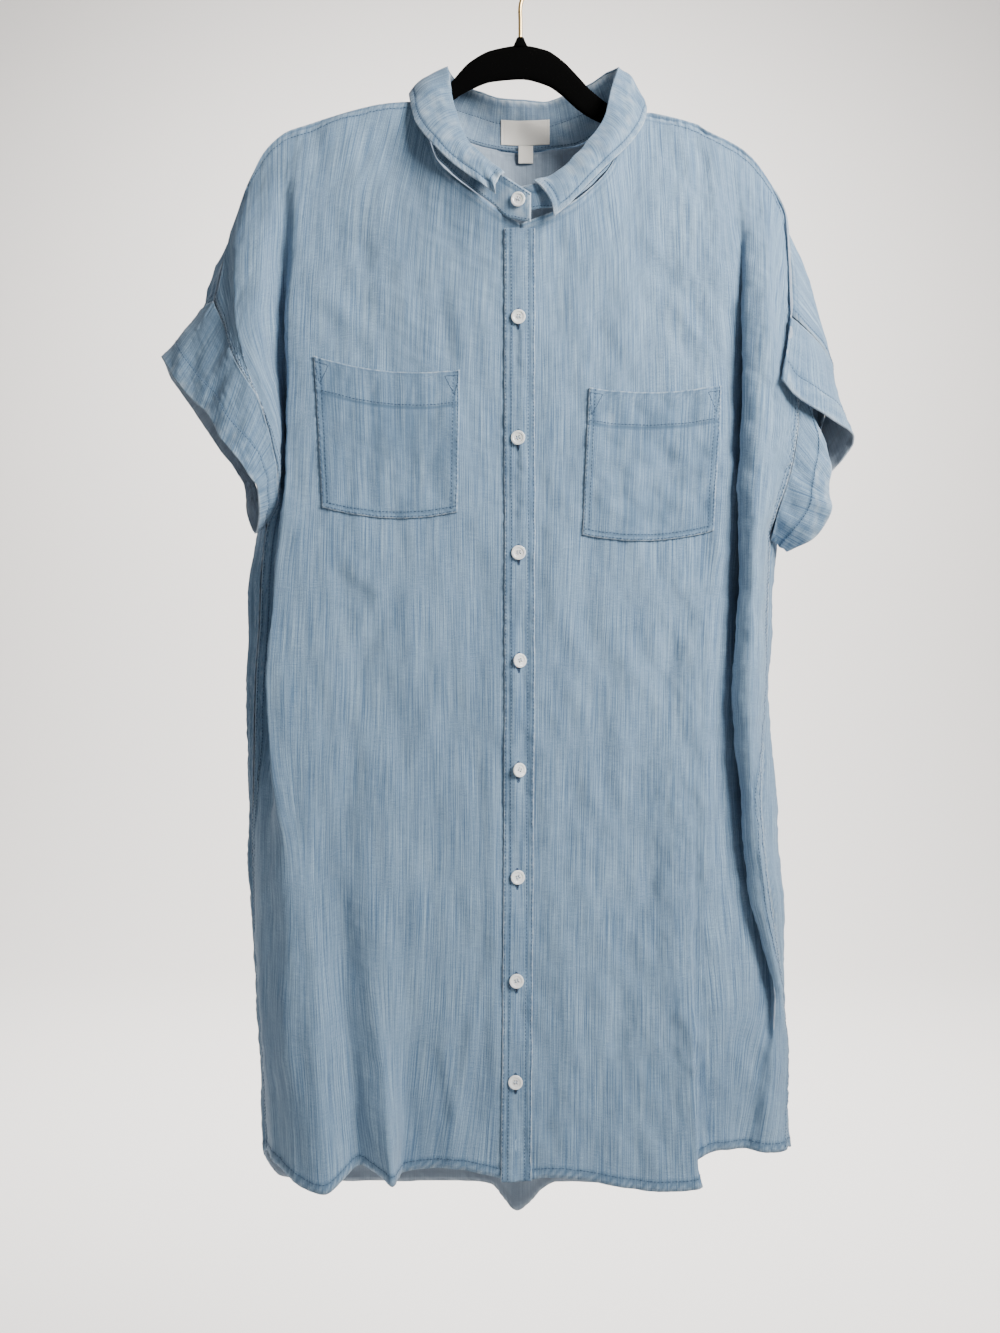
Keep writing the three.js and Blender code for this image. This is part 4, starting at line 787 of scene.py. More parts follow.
def dressSleeve(name, coarse):
    grid = blurred(finer(coarse, sleeves["rowSteps"], sleeves["columnSteps"], ring=True), 2, ring=True)
    normals = gridNormals(grid, ring=True)
    middle = grid.mean(axis=1, keepdims=True)
    normals *= np.sign(np.sum(normals * (grid - middle)))
    across = np.linalg.norm(np.roll(grid, -1, axis=1) - grid, axis=2)
    along = np.cumsum(across, axis=1)
    down = np.linalg.norm(np.diff(grid, axis=0), axis=2)
    above = np.concatenate([np.zeros((1, grid.shape[1])), np.cumsum(down, axis=0)])
    below = above[-1:] - above
    x, drop = grid[..., 0], -grid[..., 2]
    move = 0.6 * softWaves(x, drop, 30, 50) + 0.14 * softWaves(x, drop, 9, 14, 16)
    turns = np.round(along[:, -1:] / panels["seamPitch"])
    ripple = np.sin(2 * math.pi * turns * along / along[:, -1:])
    move += 0.75 * np.exp(-above / 12) * ripple * (0.7 + 0.3 * softWaves(x, drop, 30, 30))
    hemStart = np.minimum(sleeves["hem"], 0.55 * above[-1:])
    hemmed = smoothStep(-below, -hemStart, -hemStart + 1.6)
    move = move * smoothStep(above, 0, 3) + hemmed * sleeves["hemRise"] / 2
    shaped = grid + normals * move[..., None]
    thickness = cloth["wall"] + hemmed * sleeves["hemRise"]
    # Painted light and shade: pale at the armhole seam and the hem's fold, painted shade in the groove beside the seam
    # and at the hem's top, light and dark with the seam's ripples; uneven tone on the hem, and a little darker
    # overall.
    paintedLight = 0.36 * np.exp(-above / 1.3) - 0.3 * np.exp(-((above - 2) / 0.9)**2) + 0.45 * np.exp(-below / 1.5)
    paintedLight += 0.22 * ripple * np.exp(-above / 9) - 0.5 * np.exp(-((below - hemStart) / 1.3)**2)
    paintedLight += 0.16 * softWaves(x, drop, 12, 20) * hemmed - 0.12
    fresh = gridNormals(shaped, ring=True)
    fresh *= np.sign(np.sum(fresh * normals))
    clothPiece(name, name.replace("cloth_", ""), shaped, fresh, thickness, paintedLight, ring=True)
    return {"grid": shaped, "normals": fresh, "thickness": thickness, "hem": hemStart}


fineSleeveRight = dressSleeve("cloth_sleeve_right", sleeveRight)
fineSleeveLeft = dressSleeve("cloth_sleeve_left", sleeveLeft)
print("sleeves made")


# The collar: the stand, and the leaf with its two points, both of double cloth.
def dressCollar(name, node, coarse, rowSteps, columnSteps, thicknessOf, uneven):
    grid = finer(coarse, rowSteps, columnSteps)
    normals = gridNormals(grid)
    normals *= np.sign(np.sum(normals * (grid - [0, 0, 0]) * [1, 1, 0]))
    left, right, above, below = arcLengths(grid)
    edge = np.minimum(np.minimum(left, right), below)
    x, drop = grid[..., 0] + grid[..., 1], -grid[..., 2]
    move = uneven * softWaves(x, drop, 40, 40) * smoothStep(edge, 0, 8)
    groove = np.exp(-((edge - 6.5) / 1.1)**2) * smoothStep(above, 4, 9)
    move -= 0.22 * groove
    thickness = thicknessOf(edge) - 0.3 * groove
    if node == "collar":
        crumpled = np.exp(-left / 15) * smoothStep(above, 2, 10)
        move += 1.9 * crumpled * np.sin(2 * math.pi * (above + 0.45 * left) / 17 + 0.6)
        move += 0.5 * np.exp(-right / 18) * np.sin(2 * math.pi * (above - 0.4 * right) / 21) * smoothStep(above, 2, 10)
    else:
        leafSeam = np.exp(-((below - 19) / 1.0)**2) * smoothStep((above + below), 36, 42)
        groove = groove + leafSeam
        move += 0.35 * smoothStep(-below, -19.5, -18.5) * smoothStep((above + below), 36, 42)
        move += 0.8 * softWaves(x, drop, 26, 60) * smoothStep(above, 20, 44)
    shaped = grid + normals * move[..., None]
    # Painted light and shade: pale at the edges, painted shade in the stitch grooves and the leaf's seam, pale and
    # dark mottling near the edges, and uneven tone.
    mottle = np.sin(2 * math.pi * (left + above) / 6.5 + 2.2 * softWaves(left, above, 40, 40))
    paintedLight = 0.5 * np.exp(-edge / 1.2) - (0.6 + 0.15 * mottle) * groove
    paintedLight += 0.24 * mottle * smoothStep(-edge, -9, -2) + 0.12 * softWaves(x, drop, 18, 18)
    clothPiece(name, node, shaped, normals, thickness, paintedLight, wrongSide=0.25)
    return {"grid": shaped, "normals": normals, "thickness": thickness}


def leafThickness(edge):
    return 1.1 + 0.5 * smoothStep(edge, 0, 1.2)


fineStand = dressCollar("cloth_collar_stand", "collar_stand", stand, 8, 6, lambda edge: 1.1 + 0 * edge, 0.15)
fineLeaf = dressCollar("cloth_collar", "collar", leaf, 10, 8, leafThickness, 0.5)
print("collar made")


# The place on fine grids seen from the front at x and a drop, moved out along its normal: the
# nearest grid point's own tangent plane gives the depth.
def onGrids(sheets, x, drop, out, side=-1, foremost=0.0):
    points = np.concatenate([s["grid"].reshape(-1, 3) for s in sheets])
    normals = np.concatenate([s["normals"].reshape(-1, 3) for s in sheets])
    halves = np.concatenate([s["thickness"].ravel() / 2 for s in sheets])
    near = (points[:, 0] > x.min() - 8) & (points[:, 0] < x.max() + 8) & (side * normals[:, 1] > 0.25)
    near &= (-points[:, 2] > drop.min() - 12) & (-points[:, 2] < drop.max() + 12)
    points, normals, halves = points[near], normals[near], halves[near]
    shape = np.shape(x)
    x, drop = x.ravel(), drop.ravel()
    found = np.empty((len(x), 3))
    facing = np.empty((len(x), 3))
    for first in range(0, len(x), 400):
        part = slice(first, first + 400)
        dx = x[part, None] - points[:, 0]
        dz = -drop[part, None] - points[:, 2]
        nearest = np.argmin(dx * dx + dz * dz + foremost * points[:, 1], axis=1)
        rows = np.arange(len(nearest))
        n = normals[nearest]
        depth = points[nearest, 1] - (n[:, 0] * dx[rows, nearest] + n[:, 2] * dz[rows, nearest]) / n[:, 1]
        found[part] = np.stack([x[part], depth, -drop[part]], axis=1) + n * (halves[nearest, None] + out)
        facing[part] = n
    return found.reshape(*shape, 3), facing.reshape(*shape, 3)


centreX = smoothCurve(np.asarray(centreFront, float)[:, 0], np.asarray(centreFront, float)[:, 1:2])
placket = {"width": 25.4, "wall": 1.1, "rows": 420, "columns": 30, "top": 253, "bottom": 1046}
placketDrops = np.linspace(placket["top"], placket["bottom"], placket["rows"])
placketShares = np.linspace(-0.5, 0.5, placket["columns"])
placketX = centreX(placketDrops) + placketShares * placket["width"]
placketDrop = np.broadcast_to(placketDrops[:, None], placketX.shape)


def smoothed(grid, times):
    # Evens out small steps in a patch, its edges included.
    for _ in range(times):
        padded = np.concatenate([2 * grid[:1] - grid[1:2], grid, 2 * grid[-1:] - grid[-2:-1]])
        grid = 0.5 * grid + 0.25 * (padded[2:] + padded[:-2])
        padded = np.concatenate([2 * grid[:, :1] - grid[:, 1:2], grid, 2 * grid[:, -1:] - grid[:, -2:-1]], axis=1)
        grid = 0.5 * grid + 0.25 * (padded[:, 2:] + padded[:, :-2])
    return grid


patchGap = 0.45
placketGrid, _ = onGrids([fineRight, fineLeft], placketX, placketDrop, patchGap + placket["wall"] / 2)
placketGrid = smoothed(placketGrid, 3)
placketNormals = facing(placketGrid, towards=(0, -1, 0))
fromSide = (0.5 - np.abs(placketShares)) * placket["width"] + 0 * placketDrops[:, None]
valley = np.exp(-((fromSide - 4.6) / 1.0)**2)
ripple = np.sin(placketDrops[:, None] * 2 * math.pi / 9 + softWaves(placketDrop, placketX, 40, 40))
placketMove = -0.3 * valley + 0.30 * ripple * np.exp(-fromSide / 6)
placketGrid = placketGrid + placketNormals * placketMove[..., None]
# Painted light and shade on the placket: pale at its folded edges, painted shade in the stitch valleys and beside the
# edges, light and dark with the ripples, and a little darker overall.
placketPaintedLight = 0.55 * np.exp(-fromSide / 0.9) - (0.6 + 0.2 * ripple) * valley
placketPaintedLight += 0.22 * ripple * np.exp(-fromSide / 6) - 0.45 * np.exp(-((fromSide - 1.7) / 0.8)**2) - 0.08
finePlacket = {"grid": placketGrid, "normals": placketNormals,
               "thickness": np.full(placketX.shape, placket["wall"])}
clothPiece("cloth_placket", "placket", placketGrid, placketNormals, finePlacket["thickness"], placketPaintedLight)
print("placket made")


# Chest pockets: a patch between its corners with a bowed top, a thicker turned band along it.
pocketLook = {"wall": 1.1, "rows": 90, "columns": 84, "band": 30}


def dressPocket(name, node, sheet, corners):
    across = np.linspace(0, 1, pocketLook["columns"])[None, :]
    down = np.linspace(0, 1, pocketLook["rows"])[:, None]
    (topIn, xTopIn), (bottomIn, xBottomIn) = corners["inner"]
    (topOut, xTopOut), (bottomOut, xBottomOut) = corners["outer"]
    bow = 4 * across * (1 - across) * (corners["sag"] + (corners["bottomSag"] - corners["sag"]) * down)
    top = topIn + (topOut - topIn) * across
    bottom = bottomIn + (bottomOut - bottomIn) * across
    xIn = xTopIn + (xBottomIn - xTopIn) * down
    xOut = xTopOut + (xBottomOut - xTopOut) * down
    x = xIn + (xOut - xIn) * across
    drop = top + (bottom - top) * down + bow
    grid, _ = onGrids([sheet], x, drop, patchGap + pocketLook["wall"] / 2)
    grid = smoothed(grid, 4)
    normals = facing(grid, towards=(0, -1, 0))
    left, right, above, below = arcLengths(grid)
    edge = np.minimum(np.minimum(left, right), below)
    band = smoothStep(-above, -pocketLook["band"], -pocketLook["band"] + 1.5)
    fold = np.exp(-((above - pocketLook["band"]) / 1.2)**2)
    groove = np.exp(-((edge - 4.6) / 1.0)**2)
    move = 0.3 * band - 0.25 * fold - 0.22 * groove + 0.5 * softWaves(x, drop, 40, 50) * smoothStep(edge, 3, 16)
    move += 0.32 * np.sin(2 * math.pi * (left + above) / 6.5) * np.exp(-edge / 6)
    thickness = pocketLook["wall"] + 0.35 * band
    shaped = grid + normals * move[..., None]
    # Painted light and shade on the pocket: pale at its edges, painted shade in the stitch grooves, beside the rims
    # and under the band's fold, light and dark with the edge ripples, uneven tone, and darker overall.
    mottle = np.sin(2 * math.pi * (left + above) / 6.5 + 2.2 * softWaves(left, above, 40, 40))
    rim = np.minimum(edge, above)
    paintedLight = 0.55 * np.exp(-rim / 1.0) - (0.55 + 0.15 * mottle) * groove - 0.45 * np.exp(-((rim - 1.8) / 0.8)**2)
    paintedLight += 0.26 * mottle * np.exp(-rim / 6) - 0.6 * fold + 0.10 * softWaves(left, above, 9, 40) * band - 0.27
    paintedLight += 0.10 * softWaves(x, drop, 30, 50)
    clothPiece(name, node, shaped, normals, thickness, paintedLight)
    return {"grid": shaped, "normals": normals, "thickness": thickness}


finePocketRight = dressPocket("cloth_pocket_right", "pocket_right", fineRight, pockets["right"])
finePocketLeft = dressPocket("cloth_pocket_left", "pocket_left", fineLeft, pockets["left"])
print("pockets made")


# Rings of points carried along a path, closed round and at both ends by a pole.
def tubeShell(rings, firstPole, lastPole):
    count, around = rings.shape[:2]
    points = np.concatenate([rings.reshape(-1, 3), [firstPole, lastPole]])
    i, j = np.meshgrid(np.arange(count - 1), np.arange(around), indexing="ij")
    a = (i * around + j).ravel()
    b = (i * around + (j + 1) % around).ravel()
    js = np.arange(around)
    nextJs = (js + 1) % around
    first = np.full(around, count * around)
    last = (count - 1) * around
    quads = np.stack([a, b, b + around, a + around], axis=1)
    caps = np.concatenate([np.stack([first, nextJs, js], axis=1),
                           np.stack([first + 1, last + js, last + nextJs], axis=1)])
    p, q, r, s = (points[quads[:, k]] for k in range(4))
    if np.sum(p * np.cross(q, r)) + np.sum(p * np.cross(r, s)) < 0:
        quads, caps = quads[:, ::-1], caps[:, ::-1]
    return points, quads.tolist() + caps.tolist()


def shellPiece(name, nodes, shells, material):
    # One piece from one or more closed shells, in millimetres.
    points, faces, base = [], [], 0
    for shellPoints, shellFaces in shells:
        points.append(shellPoints)
        faces += [[index + base for index in face] for face in shellFaces]
        base += len(shellPoints)
    mesh = bpy.data.meshes.new(name)
    mesh.from_pydata((np.concatenate(points) * mm).tolist(), [], faces)
    mesh.shade_smooth()
    mesh.materials.append(material)
    piece = bpy.data.objects.new(name, mesh)
    bpy.context.collection.objects.link(piece)
    if nodes:
        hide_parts(*nodes)
    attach(piece, "root")
    return piece


# A place on a sheet's outer or inner face at fractional rows and columns, with the normal there.
def pathOn(sheet, rows, columns, ring=False, face=1):
    grid = sheet["grid"] + face * sheet["normals"] * sheet["thickness"][..., None] / 2
    rows = np.clip(rows, 0, grid.shape[0] - 1.001)
    i = rows.astype(int)
    if not ring:
        columns = np.clip(columns, 0, grid.shape[1] - 1.001)
    j = np.floor(columns).astype(int)
    nextJ = (j + 1) % grid.shape[1]
    j = j % grid.shape[1]
    s, t = (rows - i)[:, None], (columns - np.floor(columns))[:, None]

    def blend(field):
        return ((1 - s) * ((1 - t) * field[i, j] + t * field[i, nextJ])
                + s * ((1 - t) * field[i + 1, j] + t * field[i + 1, nextJ]))
    return blend(grid), face * blend(sheet["normals"])


# A line on a sheet at an even distance from one of its edges, between two shares of its length.
def besideEdge(sheet, side, distance, first=0.0, last=1.0, face=1):
    grid = sheet["grid"]
    rows, columns = grid.shape[:2]
    left, right, above, below = arcLengths(grid)
    if side in ("top", "bottom"):
        span = np.arange(int(first * (columns - 1)), int(last * (columns - 1)) + 1)
        if side == "top":
            found = [np.interp(distance, above[:, j], np.arange(rows)) for j in span]
        else:
            found = [rows - 1 - np.interp(distance, below[::-1, j], np.arange(rows)) for j in span]
        return pathOn(sheet, np.array(found), span.astype(float), face=face)
    span = np.arange(int(first * (rows - 1)), int(last * (rows - 1)) + 1)
    if side == "first":
        found = [np.interp(distance, left[i], np.arange(columns)) for i in span]
    else:
        found = [columns - 1 - np.interp(distance, right[i, ::-1], np.arange(columns)) for i in span]
    return pathOn(sheet, span.astype(float), np.array(found), face=face)


stitch = {"pitch": 3.0, "length": 2.3, "width": 0.72, "rise": 0.22, "sunk": 0.10}
stitchRings = []


# Stitches: short bars along a line, widest and highest in the middle, their ends in the cloth.
def sewLine(line, pitch=None, length=None):
    points, normals = line
    pitch = pitch or stitch["pitch"]
    length = length or stitch["length"]
    along = np.concatenate([[0], np.cumsum(np.linalg.norm(np.diff(points, axis=0), axis=1))])
    starts = np.arange(0.3, along[-1] - length, pitch)
    if not len(starts):
        return
    starts = starts + rng.normal(0, 0.06, len(starts))

    def at(values, station):
        return np.stack([np.interp(station, along, values[:, k]) for k in range(3)], axis=-1)
    shares = np.array([0.0, 0.5, 1.0])
    stations = starts[:, None] + shares * length
    centre = at(points, stations)
    normal = at(normals, stations)
    normal /= np.linalg.norm(normal, axis=2, keepdims=True)
    run = centre[:, 2:] - centre[:, :1]
    run /= np.linalg.norm(run, axis=2, keepdims=True)
    beside = np.cross(run, normal)
    centre = centre + normal * np.array([-stitch["sunk"], stitch["rise"], -stitch["sunk"]])[:, None]
    radius = np.array([0.5, 1.0, 0.5])[:, None] * stitch["width"] / 2
    corners = [beside * radius, normal * radius * 0.8, -beside * radius, -normal * radius * 0.8]
    stitchRings.append(np.stack([centre + corner for corner in corners], axis=2))


for sheet in (fineRight, fineLeft, fineBack):
    sewLine(besideEdge(sheet, "bottom", panels["hem"] - 1))
underarmShare = (cloth["armholeRows"] + 1) / (cloth["armholeRows"] + 1 + cloth["skirtRows"])
for sheet in (fineRight, fineLeft):
    sewLine(besideEdge(sheet, "last", 1.6))
    sewLine(besideEdge(sheet, "last", 7.2))
    sewLine(besideEdge(sheet, "top", 7.2, 0.32, 0.9))
sewLine(besideEdge(fineBack, "first", 6.5, 0, underarmShare))
sewLine(besideEdge(fineBack, "last", 6.5, 0, underarmShare))
for sheet in (fineSleeveRight, fineSleeveLeft):
    grid = sheet["grid"]
    ringColumns = np.arange(grid.shape[1] + 1)
    down = np.linalg.norm(np.diff(grid, axis=0), axis=2)
    above = np.concatenate([np.zeros((1, grid.shape[1])), np.cumsum(down, axis=0)])
    hemRows = np.array([np.interp(above[-1, j] - sheet["hem"][0, j] + 1, above[:, j], np.arange(grid.shape[0]))
                        for j in ringColumns % grid.shape[1]])
    sewLine(pathOn(sheet, hemRows, ringColumns.astype(float), ring=True))
for distance in (6.5,):
    sewLine(besideEdge(fineLeaf, "bottom", distance, 0.02, 0.98))
    sewLine(besideEdge(fineLeaf, "first", distance, 0.1, 0.8))
    sewLine(besideEdge(fineLeaf, "last", distance, 0.1, 0.8))
sewLine(besideEdge(fineStand, "top", 2.0))
sewLine(besideEdge(fineStand, "bottom", 2.0, 0.0, 0.12))
sewLine(besideEdge(fineStand, "bottom", 21.0, 0.27, 0.73, face=-1))
sewLine(besideEdge(fineStand, "top", 2.0, 0.2, 0.8, face=-1))
for side in ("first", "last"):
    for distance in (1.3, 5.8):
        sewLine(besideEdge(finePlacket, side, distance))
for sheet in (finePocketRight, finePocketLeft):
    for distance in (1.4, 5.4):
        sewLine(besideEdge(sheet, "first", distance, 0.0, 0.985))
        sewLine(besideEdge(sheet, "last", distance, 0.0, 0.985))
        sewLine(besideEdge(sheet, "bottom", distance, 0.015, 0.985))
    sewLine(besideEdge(sheet, "top", pocketLook["band"] - 2.5, 0.02, 0.98))


# A tack in each top corner of a pocket: a small triangle of close stitches.
def sewTack(sheet, atFirst):
    columns = sheet["grid"].shape[1] - 1
    corner = 0.0 if atFirst else columns
    inward = 1 if atFirst else -1
    shape = np.array([[3, 0.7], [3, 8.5], [16, 2.5], [3, 0.7]], float)
    t = np.linspace(0, 3, 40)
    rows = np.interp(t, np.arange(4), shape[:, 0])
    offsets = np.interp(t, np.arange(4), shape[:, 1])
    sewLine(pathOn(sheet, rows, corner + inward * offsets), 1.5, 1.35)


for sheet in (finePocketRight, finePocketLeft):
    sewTack(sheet, True)
    sewTack(sheet, False)

threadMaterial, threadTree, threadShader = newMaterial("sewing_thread", chambrayLook["thread"], 0.75)
threadPlace = addNode(threadTree, "ShaderNodeTexCoord").outputs["Object"]
threadNoise = addNode(threadTree, "ShaderNodeTexNoise", {"Vector": threadPlace, "Scale": 900.0}).outputs["Fac"]
threadTree.links.new(colourMix(threadTree, threadNoise, (0.018, 0.045, 0.095, 1), (0.06, 0.11, 0.19, 1)),
                     threadShader.inputs["Base Color"])
rings = np.concatenate(stitchRings) * mm
bars = len(rings)
points = rings.reshape(-1, 3)
bases = np.arange(bars)[:, None, None] * 12
band = np.array([[k * 4 + c, k * 4 + (c + 1) % 4, k * 4 + 4 + (c + 1) % 4, k * 4 + 4 + c]
                 for k in range(2) for c in range(4)])
ends = np.array([[3, 2, 1, 0], [8, 9, 10, 11]])
faces = (bases + np.concatenate([band, ends])).reshape(-1, 4)
p, q, r, s = (points[faces[:10, k]] for k in range(4))
middle = points[:12].mean(axis=0)
if np.sum((p - middle) * np.cross(q - middle, r - middle)) < 0:
    faces = faces[:, ::-1]
stitches = finishMesh("stitches", [], points, faces, threadMaterial)
print("stitches sewn:", bars)


# Buttons: a disc with a raised rim, a dish and four holes. The height of the top is a function of
# the radius and the angle.
button = {"radius": 6.0, "height": 2.4, "rim": 1.5, "dish": 0.55, "holeRadius": 0.72, "holeRing": 1.45,
          "holeDepth": 1.5, "around": 56}
buttonMaterial, buttonTree, buttonShader = newMaterial("button_pearl", (0.92, 0.91, 0.89), 0.22)
buttonShader.inputs["Coat Weight"].default_value = 0.5
buttonShader.inputs["Subsurface Weight"].default_value = 0.08
buttonPlace = addNode(buttonTree, "ShaderNodeTexCoord").outputs["Object"]
cloud = addNode(buttonTree, "ShaderNodeTexNoise", {"Vector": buttonPlace, "Scale": 260.0, "Detail": 2.0,
                "Distortion": 1.2}).outputs["Fac"]
buttonTree.links.new(ramp(buttonTree, cloud, [(0.3, (0.86, 0.85, 0.83)), (0.7, (0.97, 0.96, 0.94))]),
                     buttonShader.inputs["Base Color"])


def buttonShell(place, axis, turn):
    around = button["around"]
    angle = np.arange(around) * 2 * math.pi / around
    top = np.linspace(0.25, button["radius"] - 0.5, 24)
    height = button["height"] - button["dish"] * (1 - smoothStep(
        top, button["radius"] - button["rim"] - 1.0, button["radius"] - button["rim"]))
    hole = np.full((len(top), around), 9.0)
    for k in range(4):
        hx = button["holeRing"] * math.cos(math.pi / 4 + k * math.pi / 2)
        hy = button["holeRing"] * math.sin(math.pi / 4 + k * math.pi / 2)
        hole = np.minimum(hole, np.hypot(top[:, None] * np.cos(angle) - hx, top[:, None] * np.sin(angle) - hy))
    topHeight = height[:, None] - button["holeDepth"] * (1 - smoothStep(
        hole, button["holeRadius"] - 0.25, button["holeRadius"] + 0.12))
    rimAngle = np.linspace(0.25, math.pi / 2, 4)
    side = button["radius"] - 0.5 + 0.5 * np.sin(rimAngle)
    sideHeight = button["height"] - 0.5 + 0.5 * np.cos(rimAngle)
    low = [button["radius"], button["radius"] - 0.35, button["radius"] - 1.2, 1.0]
    lowHeight = [0.7, 0.2, 0.0, 0.0]
    radii = np.concatenate([top, side, low])
    heights = np.concatenate([topHeight, np.repeat(np.concatenate([sideHeight, lowHeight])[:, None], around, 1)])
    u = np.cross([0, 0, 1.0], axis)
    u /= np.linalg.norm(u)
    w = np.cross(axis, u)
    u, w = u * math.cos(turn) + w * math.sin(turn), w * math.cos(turn) - u * math.sin(turn)
    rings = place + (radii[:, None] * np.cos(angle))[..., None] * u + (
        radii[:, None] * np.sin(angle))[..., None] * w + heights[..., None] * axis
    centre = button["height"] - button["dish"]
    return tubeShell(rings, place + axis * centre, place), u, w


def barShell(start, end, lift, width, sides=6):
    # A thread between two points that arches by a lift.
    shares = np.linspace(0, 1, 7)[:, None]
    path = start * (1 - shares) + end * shares + lift * 4 * shares * (1 - shares)
    run = (end - start) / np.linalg.norm(end - start)
    up = lift / np.linalg.norm(lift)
    beside = np.cross(run, up)
    angle = np.arange(sides) * 2 * math.pi / sides
    rings = path[:, None] + width / 2 * (np.cos(angle)[None, :, None] * beside + np.sin(angle)[None, :, None] * up)
    return tubeShell(rings, path[0], path[-1])


threadShells = []
holeShells = []
slitShadeShells = []
for k, drop in enumerate(buttonDrops):
    x = centreX([drop])[0, 0] - 1
    sheets = [fineStand] if k == 0 else [finePlacket]
    place, axis = onGrids(sheets, np.array([x]), np.array([float(drop)]), 0.35, foremost=8.0 if k == 0 else 0.0)
    place, axis = place[0], axis[0] / np.linalg.norm(axis[0])
    turn = rng.uniform(-0.5, 0.5)
    shell, u, w = buttonShell(place, axis, turn)
    shellPiece("button_%d_pearl" % (k + 1), ["button_%d" % (k + 1)], [shell], buttonMaterial)
    level = axis * (button["height"] - button["dish"] - 0.5)
    reach = button["holeRing"] / math.sqrt(2)
    for sign in (-1, 1):
        for shift in (-0.22, 0.22):
            a = place + level + u * (sign * reach + shift) - w * reach
            b = place + level + u * (sign * reach + shift) + w * reach
            threadShells.append(barShell(a, b, axis * 0.85, 0.42))
    if k == 0:
        continue
    # the buttonhole: a corded oval about a slit, upright behind the button; the slit is a dark strip of painted shade
    oval = np.linspace(0, 2 * math.pi, 73)[:-1]
    ox = x + 1.3 * np.sign(np.cos(oval)) * np.abs(np.cos(oval))**0.7
    od = drop + 1.5 + 8.6 * np.sin(oval)
    path, up = onGrids(sheets, ox, od, 0.05)
    run = np.roll(path, -1, axis=0) - np.roll(path, 1, axis=0)
    run /= np.linalg.norm(run, axis=1, keepdims=True)
    beside = np.cross(run, up)
    section = np.arange(6) * math.pi / 3
    radius = 0.5 * (1 + 0.28 * np.sin(36 * oval))
    rings = path[:, None] + radius[:, None, None] * (np.cos(section)[None, :, None] * beside[:, None]
                                                     + 0.7 * np.sin(section)[None, :, None] * up[:, None])
    i, j = np.meshgrid(np.arange(72), np.arange(6), indexing="ij")
    a = (i * 6 + j).ravel()
    b = (i * 6 + (j + 1) % 6).ravel()
    c = ((i + 1) % 72 * 6 + (j + 1) % 6).ravel()
    d = ((i + 1) % 72 * 6 + j).ravel()
    holeShells.append((rings.reshape(-1, 3), np.stack([a, b, c, d], axis=1).tolist()))
    # a dark bar along the slit, as painted shade in the cut
    ends, up = onGrids(sheets, np.array([x, x]), np.array([drop - 6.3, drop + 9.3]), -0.05)
    slitShadeShells.append(barShell(ends[0], ends[1], up[0] * 0.12, 0.9))
buttonThread, _, _ = newMaterial("button_thread", (0.42, 0.50, 0.60), 0.8)
shellPiece("button_threads", [], threadShells, buttonThread)
shellPiece("buttonhole_cords", [], holeShells, threadMaterial)
slitShadeMaterial, _, _ = newMaterial("buttonhole_slit_shade", (0.03, 0.05, 0.09), 0.9)
shellPiece("buttonhole_slits", [], slitShadeShells, slitShadeMaterial)
print("buttons and buttonholes made")

# The woven labels, blank: ribs across the cloth, in the bump and in a painted sheen that is paler on their crests.
labelMaterial, labelTree, labelShader = newMaterial("label_woven", (0.86, 0.82, 0.74), 0.7)
labelPlace = addNode(labelTree, "ShaderNodeUVMap", uv_map="cut").outputs["UV"]
ribs = addNode(labelTree, "ShaderNodeTexWave", {"Vector": labelPlace, "Scale": 420.0, "Distortion": 0.6},
               bands_direction="Y").outputs["Fac"]
# painted sheen: the ribs' colour is paler where they stand higher
labelTree.links.new(colourMix(labelTree, ribs, (0.88, 0.84, 0.76, 1), (0.97, 0.94, 0.88, 1)),
                    labelShader.inputs["Base Color"])
labelTree.links.new(addNode(labelTree, "ShaderNodeBump", {"Height": ribs, "Strength": 0.5, "Distance": 0.0003})
                    .outputs["Normal"], labelShader.inputs["Normal"])
labels = {"wall": 0.7, "mainX": (-21, 23), "mainDrop": (129, 151), "sizeX": (-5, 8), "sizeDrop": (152, 168),
          "sizeY": 46.6, "lean": 0.05}
labelX, labelDrop = np.meshgrid(np.linspace(*labels["mainX"], 60), np.linspace(*labels["mainDrop"], 34))
standBack = fineStand["thickness"].max()
labelGrid, _ = onGrids([fineStand], labelX, labelDrop, -standBack - 0.4 - labels["wall"] / 2, side=1)
labelGrid = smoothed(labelGrid, 4)
labelEdge = np.minimum(labelX - labels["mainX"][0], labels["mainX"][1] - labelX)
labelGrid[..., 1] += 0.25 * np.exp(-((labelEdge - 2.2) / 0.7)**2)
labelWalls = np.full(labelX.shape, labels["wall"])
labelNormals = facing(labelGrid, towards=(0, -1, 0))
mainLabel = clothPiece("cloth_label_main", "label_main", labelGrid, labelNormals, labelWalls, 0 * labelX,
                       material=labelMaterial)
sizeX, sizeDrop = np.meshgrid(np.linspace(*labels["sizeX"], 26), np.linspace(*labels["sizeDrop"], 30))
fromTop = (sizeDrop - labels["sizeDrop"][0])
sizeY = labels["sizeY"] - fromTop * labels["lean"] - 0.5 * np.sin(math.pi * fromTop / 16)
sizeGrid = np.stack([sizeX, sizeY, -sizeDrop], axis=2)
sizeLabel = clothPiece("cloth_label_size", "label_size", sizeGrid, facing(sizeGrid, towards=(0, -1, 0)),
                       np.full(sizeX.shape, labels["wall"]), 0 * sizeX, material=labelMaterial)
print("labels made")

